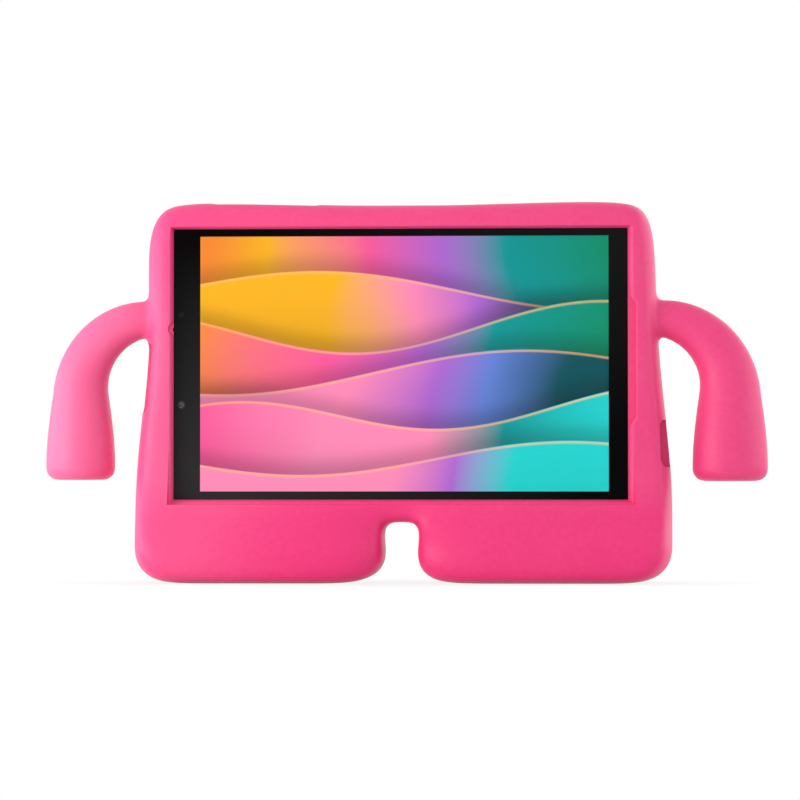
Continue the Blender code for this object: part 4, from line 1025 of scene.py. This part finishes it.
def picture_paint():
    """The lit display: layered waves like cut paper, warm at the left and cool at the right."""
    paint = Paint("display", Base_Color=BLACK, Roughness=PICTURE_ROUGHNESS, Specular_IOR_Level=0.0)
    across, _, up = paint.axes()
    u = (across - (DISPLAY_OFFSET - DISPLAY_LENGTH / 2)) / DISPLAY_LENGTH
    v = (up - (TABLET_MIDDLE - DISPLAY_WIDTH / 2)) / DISPLAY_WIDTH
    warp = paint.noise(*WARP_NOISE) - 0.5
    colour = paint.ramp(u + warp * SKY_WARP, SKY)
    for height, slope, swing, turn, start, stops in WAVES:
        under = height + u * slope + (u * turn + start).sine() * swing - v
        layer = paint.ramp(u + warp * LAYER_WARP + under * LAYER_LEAN, stops)
        layer = paint.tint(layer, LAYER_BRIGHTNESS - under.band(*LAYER_FADE))
        rim = under.between(*RIM_START) - under.between(*RIM_END)
        layer = paint.mix(rim * RIM_STRENGTH, layer, WAVE_RIM)
        shaded = paint.tint(colour, 1 - under.band(*LAYER_SHADOW))
        colour = paint.mix(under.between(-LAYER_EDGE, LAYER_EDGE), shaded, layer)
    paint.set(Emission_Color=colour, Emission_Strength=1.0)
    return paint.material


def plain_paint(name, colour, roughness, metallic, grain):
    """A fine-grained finish for metal or plastic."""
    paint = Paint(name, Metallic=metallic)
    fine = paint.noise(grain, *PLAIN_GRAIN)
    broad = paint.noise(*PATCH_NOISE)
    shade = PLAIN_SHADE + fine * PLAIN_GRAIN_SHADE + broad * PLAIN_PATCH_SHADE
    paint.set(
        Base_Color=paint.tint(colour, shade),
        Roughness=roughness + (fine - 0.5) * PLAIN_GRAIN_ROUGHNESS,
        Normal=paint.bump(fine, PLAIN_RELIEF, PLAIN_RELIEF_STRENGTH),
    )
    return paint.material


def lens_paint(name, place, radius):
    """A camera window: a dark ring round a coated lens."""
    paint = Paint(name, Roughness=LENS_ROUGHNESS, Coat_Weight=LENS_COAT)
    paint.set(Base_Color=paint.ramp(paint.distance(place) / radius, LENS_RINGS))
    return paint.material


def dress_nodes():
    """Gives each CAD piece that stays its finish."""
    plain = {name: plain_paint(name, *values) for name, values in PLAIN_FINISHES.items()}
    special = {
        "cover_glass": glass_paint(),
        "display_panel": picture_paint(),
        "front_camera": lens_paint("front_lens", EYE_PLACE, EYE_RADIUS),
        "rear_camera_window": lens_paint("rear_lens", REAR_CAMERA_PLACE, REAR_LENS_RADIUS),
    }
    for name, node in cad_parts.items():
        if name == "foam_case":
            continue
        usual = "bright_steel" if name.startswith("board_screw") else "black_plastic"
        finish = special.get(name, plain[FINISH_OF_NODE.get(name, usual)])
        node.data.materials.clear()
        node.data.materials.append(finish)


# Stage, light and camera
def make_floor():
    """A plain pale floor: it keeps the shadow near the feet and is white further out."""
    bm = bmesh.new()
    bmesh.ops.create_grid(bm, x_segments=1, y_segments=1, size=FLOOR_SIZE / 2)
    floor = new_object("floor", bm)
    paint = Paint(
        "pale_floor", Base_Color=FLOOR_COLOUR, Roughness=FLOOR_ROUGHNESS, Specular_IOR_Level=0.0
    )
    across, back, _ = paint.axes()
    out = (across * across + back * back * FLOOR_FLATNESS).root()
    paint.second(
        paint.seen() * (FLOOR_WHITE + out.band(*FLOOR_FADE, 1 - FLOOR_WHITE)),
        Base_Color=BLACK,
        Specular_IOR_Level=0.0,
        Emission_Color=WHITE,
        Emission_Strength=1.0,
    )
    floor.data.materials.append(paint.material)
    floor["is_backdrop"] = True


def make_world():
    """Soft even light from all round, seen as white."""
    world = bpy.data.worlds.new("studio")
    world.use_nodes = True
    bpy.context.scene.world = world
    tree = world.node_tree
    background = tree.nodes["Background"]
    background.inputs["Color"].default_value = (1.0, 1.0, 1.0, 1.0)
    rays = tree.nodes.new("ShaderNodeLightPath")
    strength = tree.nodes.new("ShaderNodeMapRange")
    strength.inputs["To Min"].default_value = WORLD_STRENGTH
    strength.inputs["To Max"].default_value = 1.0
    either = rays.outputs["Is Camera Ray"]
    for kind in ("Is Glossy Ray", "Is Transmission Ray"):
        most = tree.nodes.new("ShaderNodeMath")
        most.operation = "MAXIMUM"
        tree.links.new(either, most.inputs[0])
        tree.links.new(rays.outputs[kind], most.inputs[1])
        either = most.outputs[0]
    tree.links.new(either, strength.inputs["Value"])
    tree.links.new(strength.outputs[0], background.inputs["Strength"])


def make_lamps():
    """Soft lamps: small and near at the left, large and far at the right."""
    for name, place, size, power in LAMPS:
        light = bpy.data.lights.new(name, "AREA")
        light.shape = "SQUARE"
        light.size = size
        light.energy = power
        lamp = bpy.data.objects.new(name, light)
        turn = (Vector(LAMP_AIM) - Vector(place)).to_track_quat("-Z", "Y")
        lamp.matrix_world = Matrix.Translation(place) @ turn.to_matrix().to_4x4()
        bpy.context.scene.collection.objects.link(lamp)


def make_camera():
    """The photograph's view: nearly straight on, from a little right and low."""
    level = math.cos(CAMERA_PITCH)
    way = Vector((math.sin(CAMERA_YAW) * level, -math.cos(CAMERA_YAW) * level, math.sin(CAMERA_PITCH)))
    data = bpy.data.cameras.new("camera")
    data.lens = CAMERA_LENS
    data.clip_start = CAMERA_CLIP
    camera = bpy.data.objects.new("camera", data)
    camera.location = Vector(CAMERA_AIM) + way * CAMERA_DISTANCE
    camera.rotation_euler = (-way).to_track_quat("-Z", "Y").to_euler()
    bpy.context.scene.collection.objects.link(camera)
    bpy.context.scene.camera = camera


make_camera()
make_world()
make_lamps()
make_floor()
make_foam()
dress_nodes()
bpy.context.scene.view_settings.view_transform = "Standard"

boxes = {"cad": cad_bounds, "visual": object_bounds()}
{name: [list(corner) for corner in both] for name, both in boxes.items()}
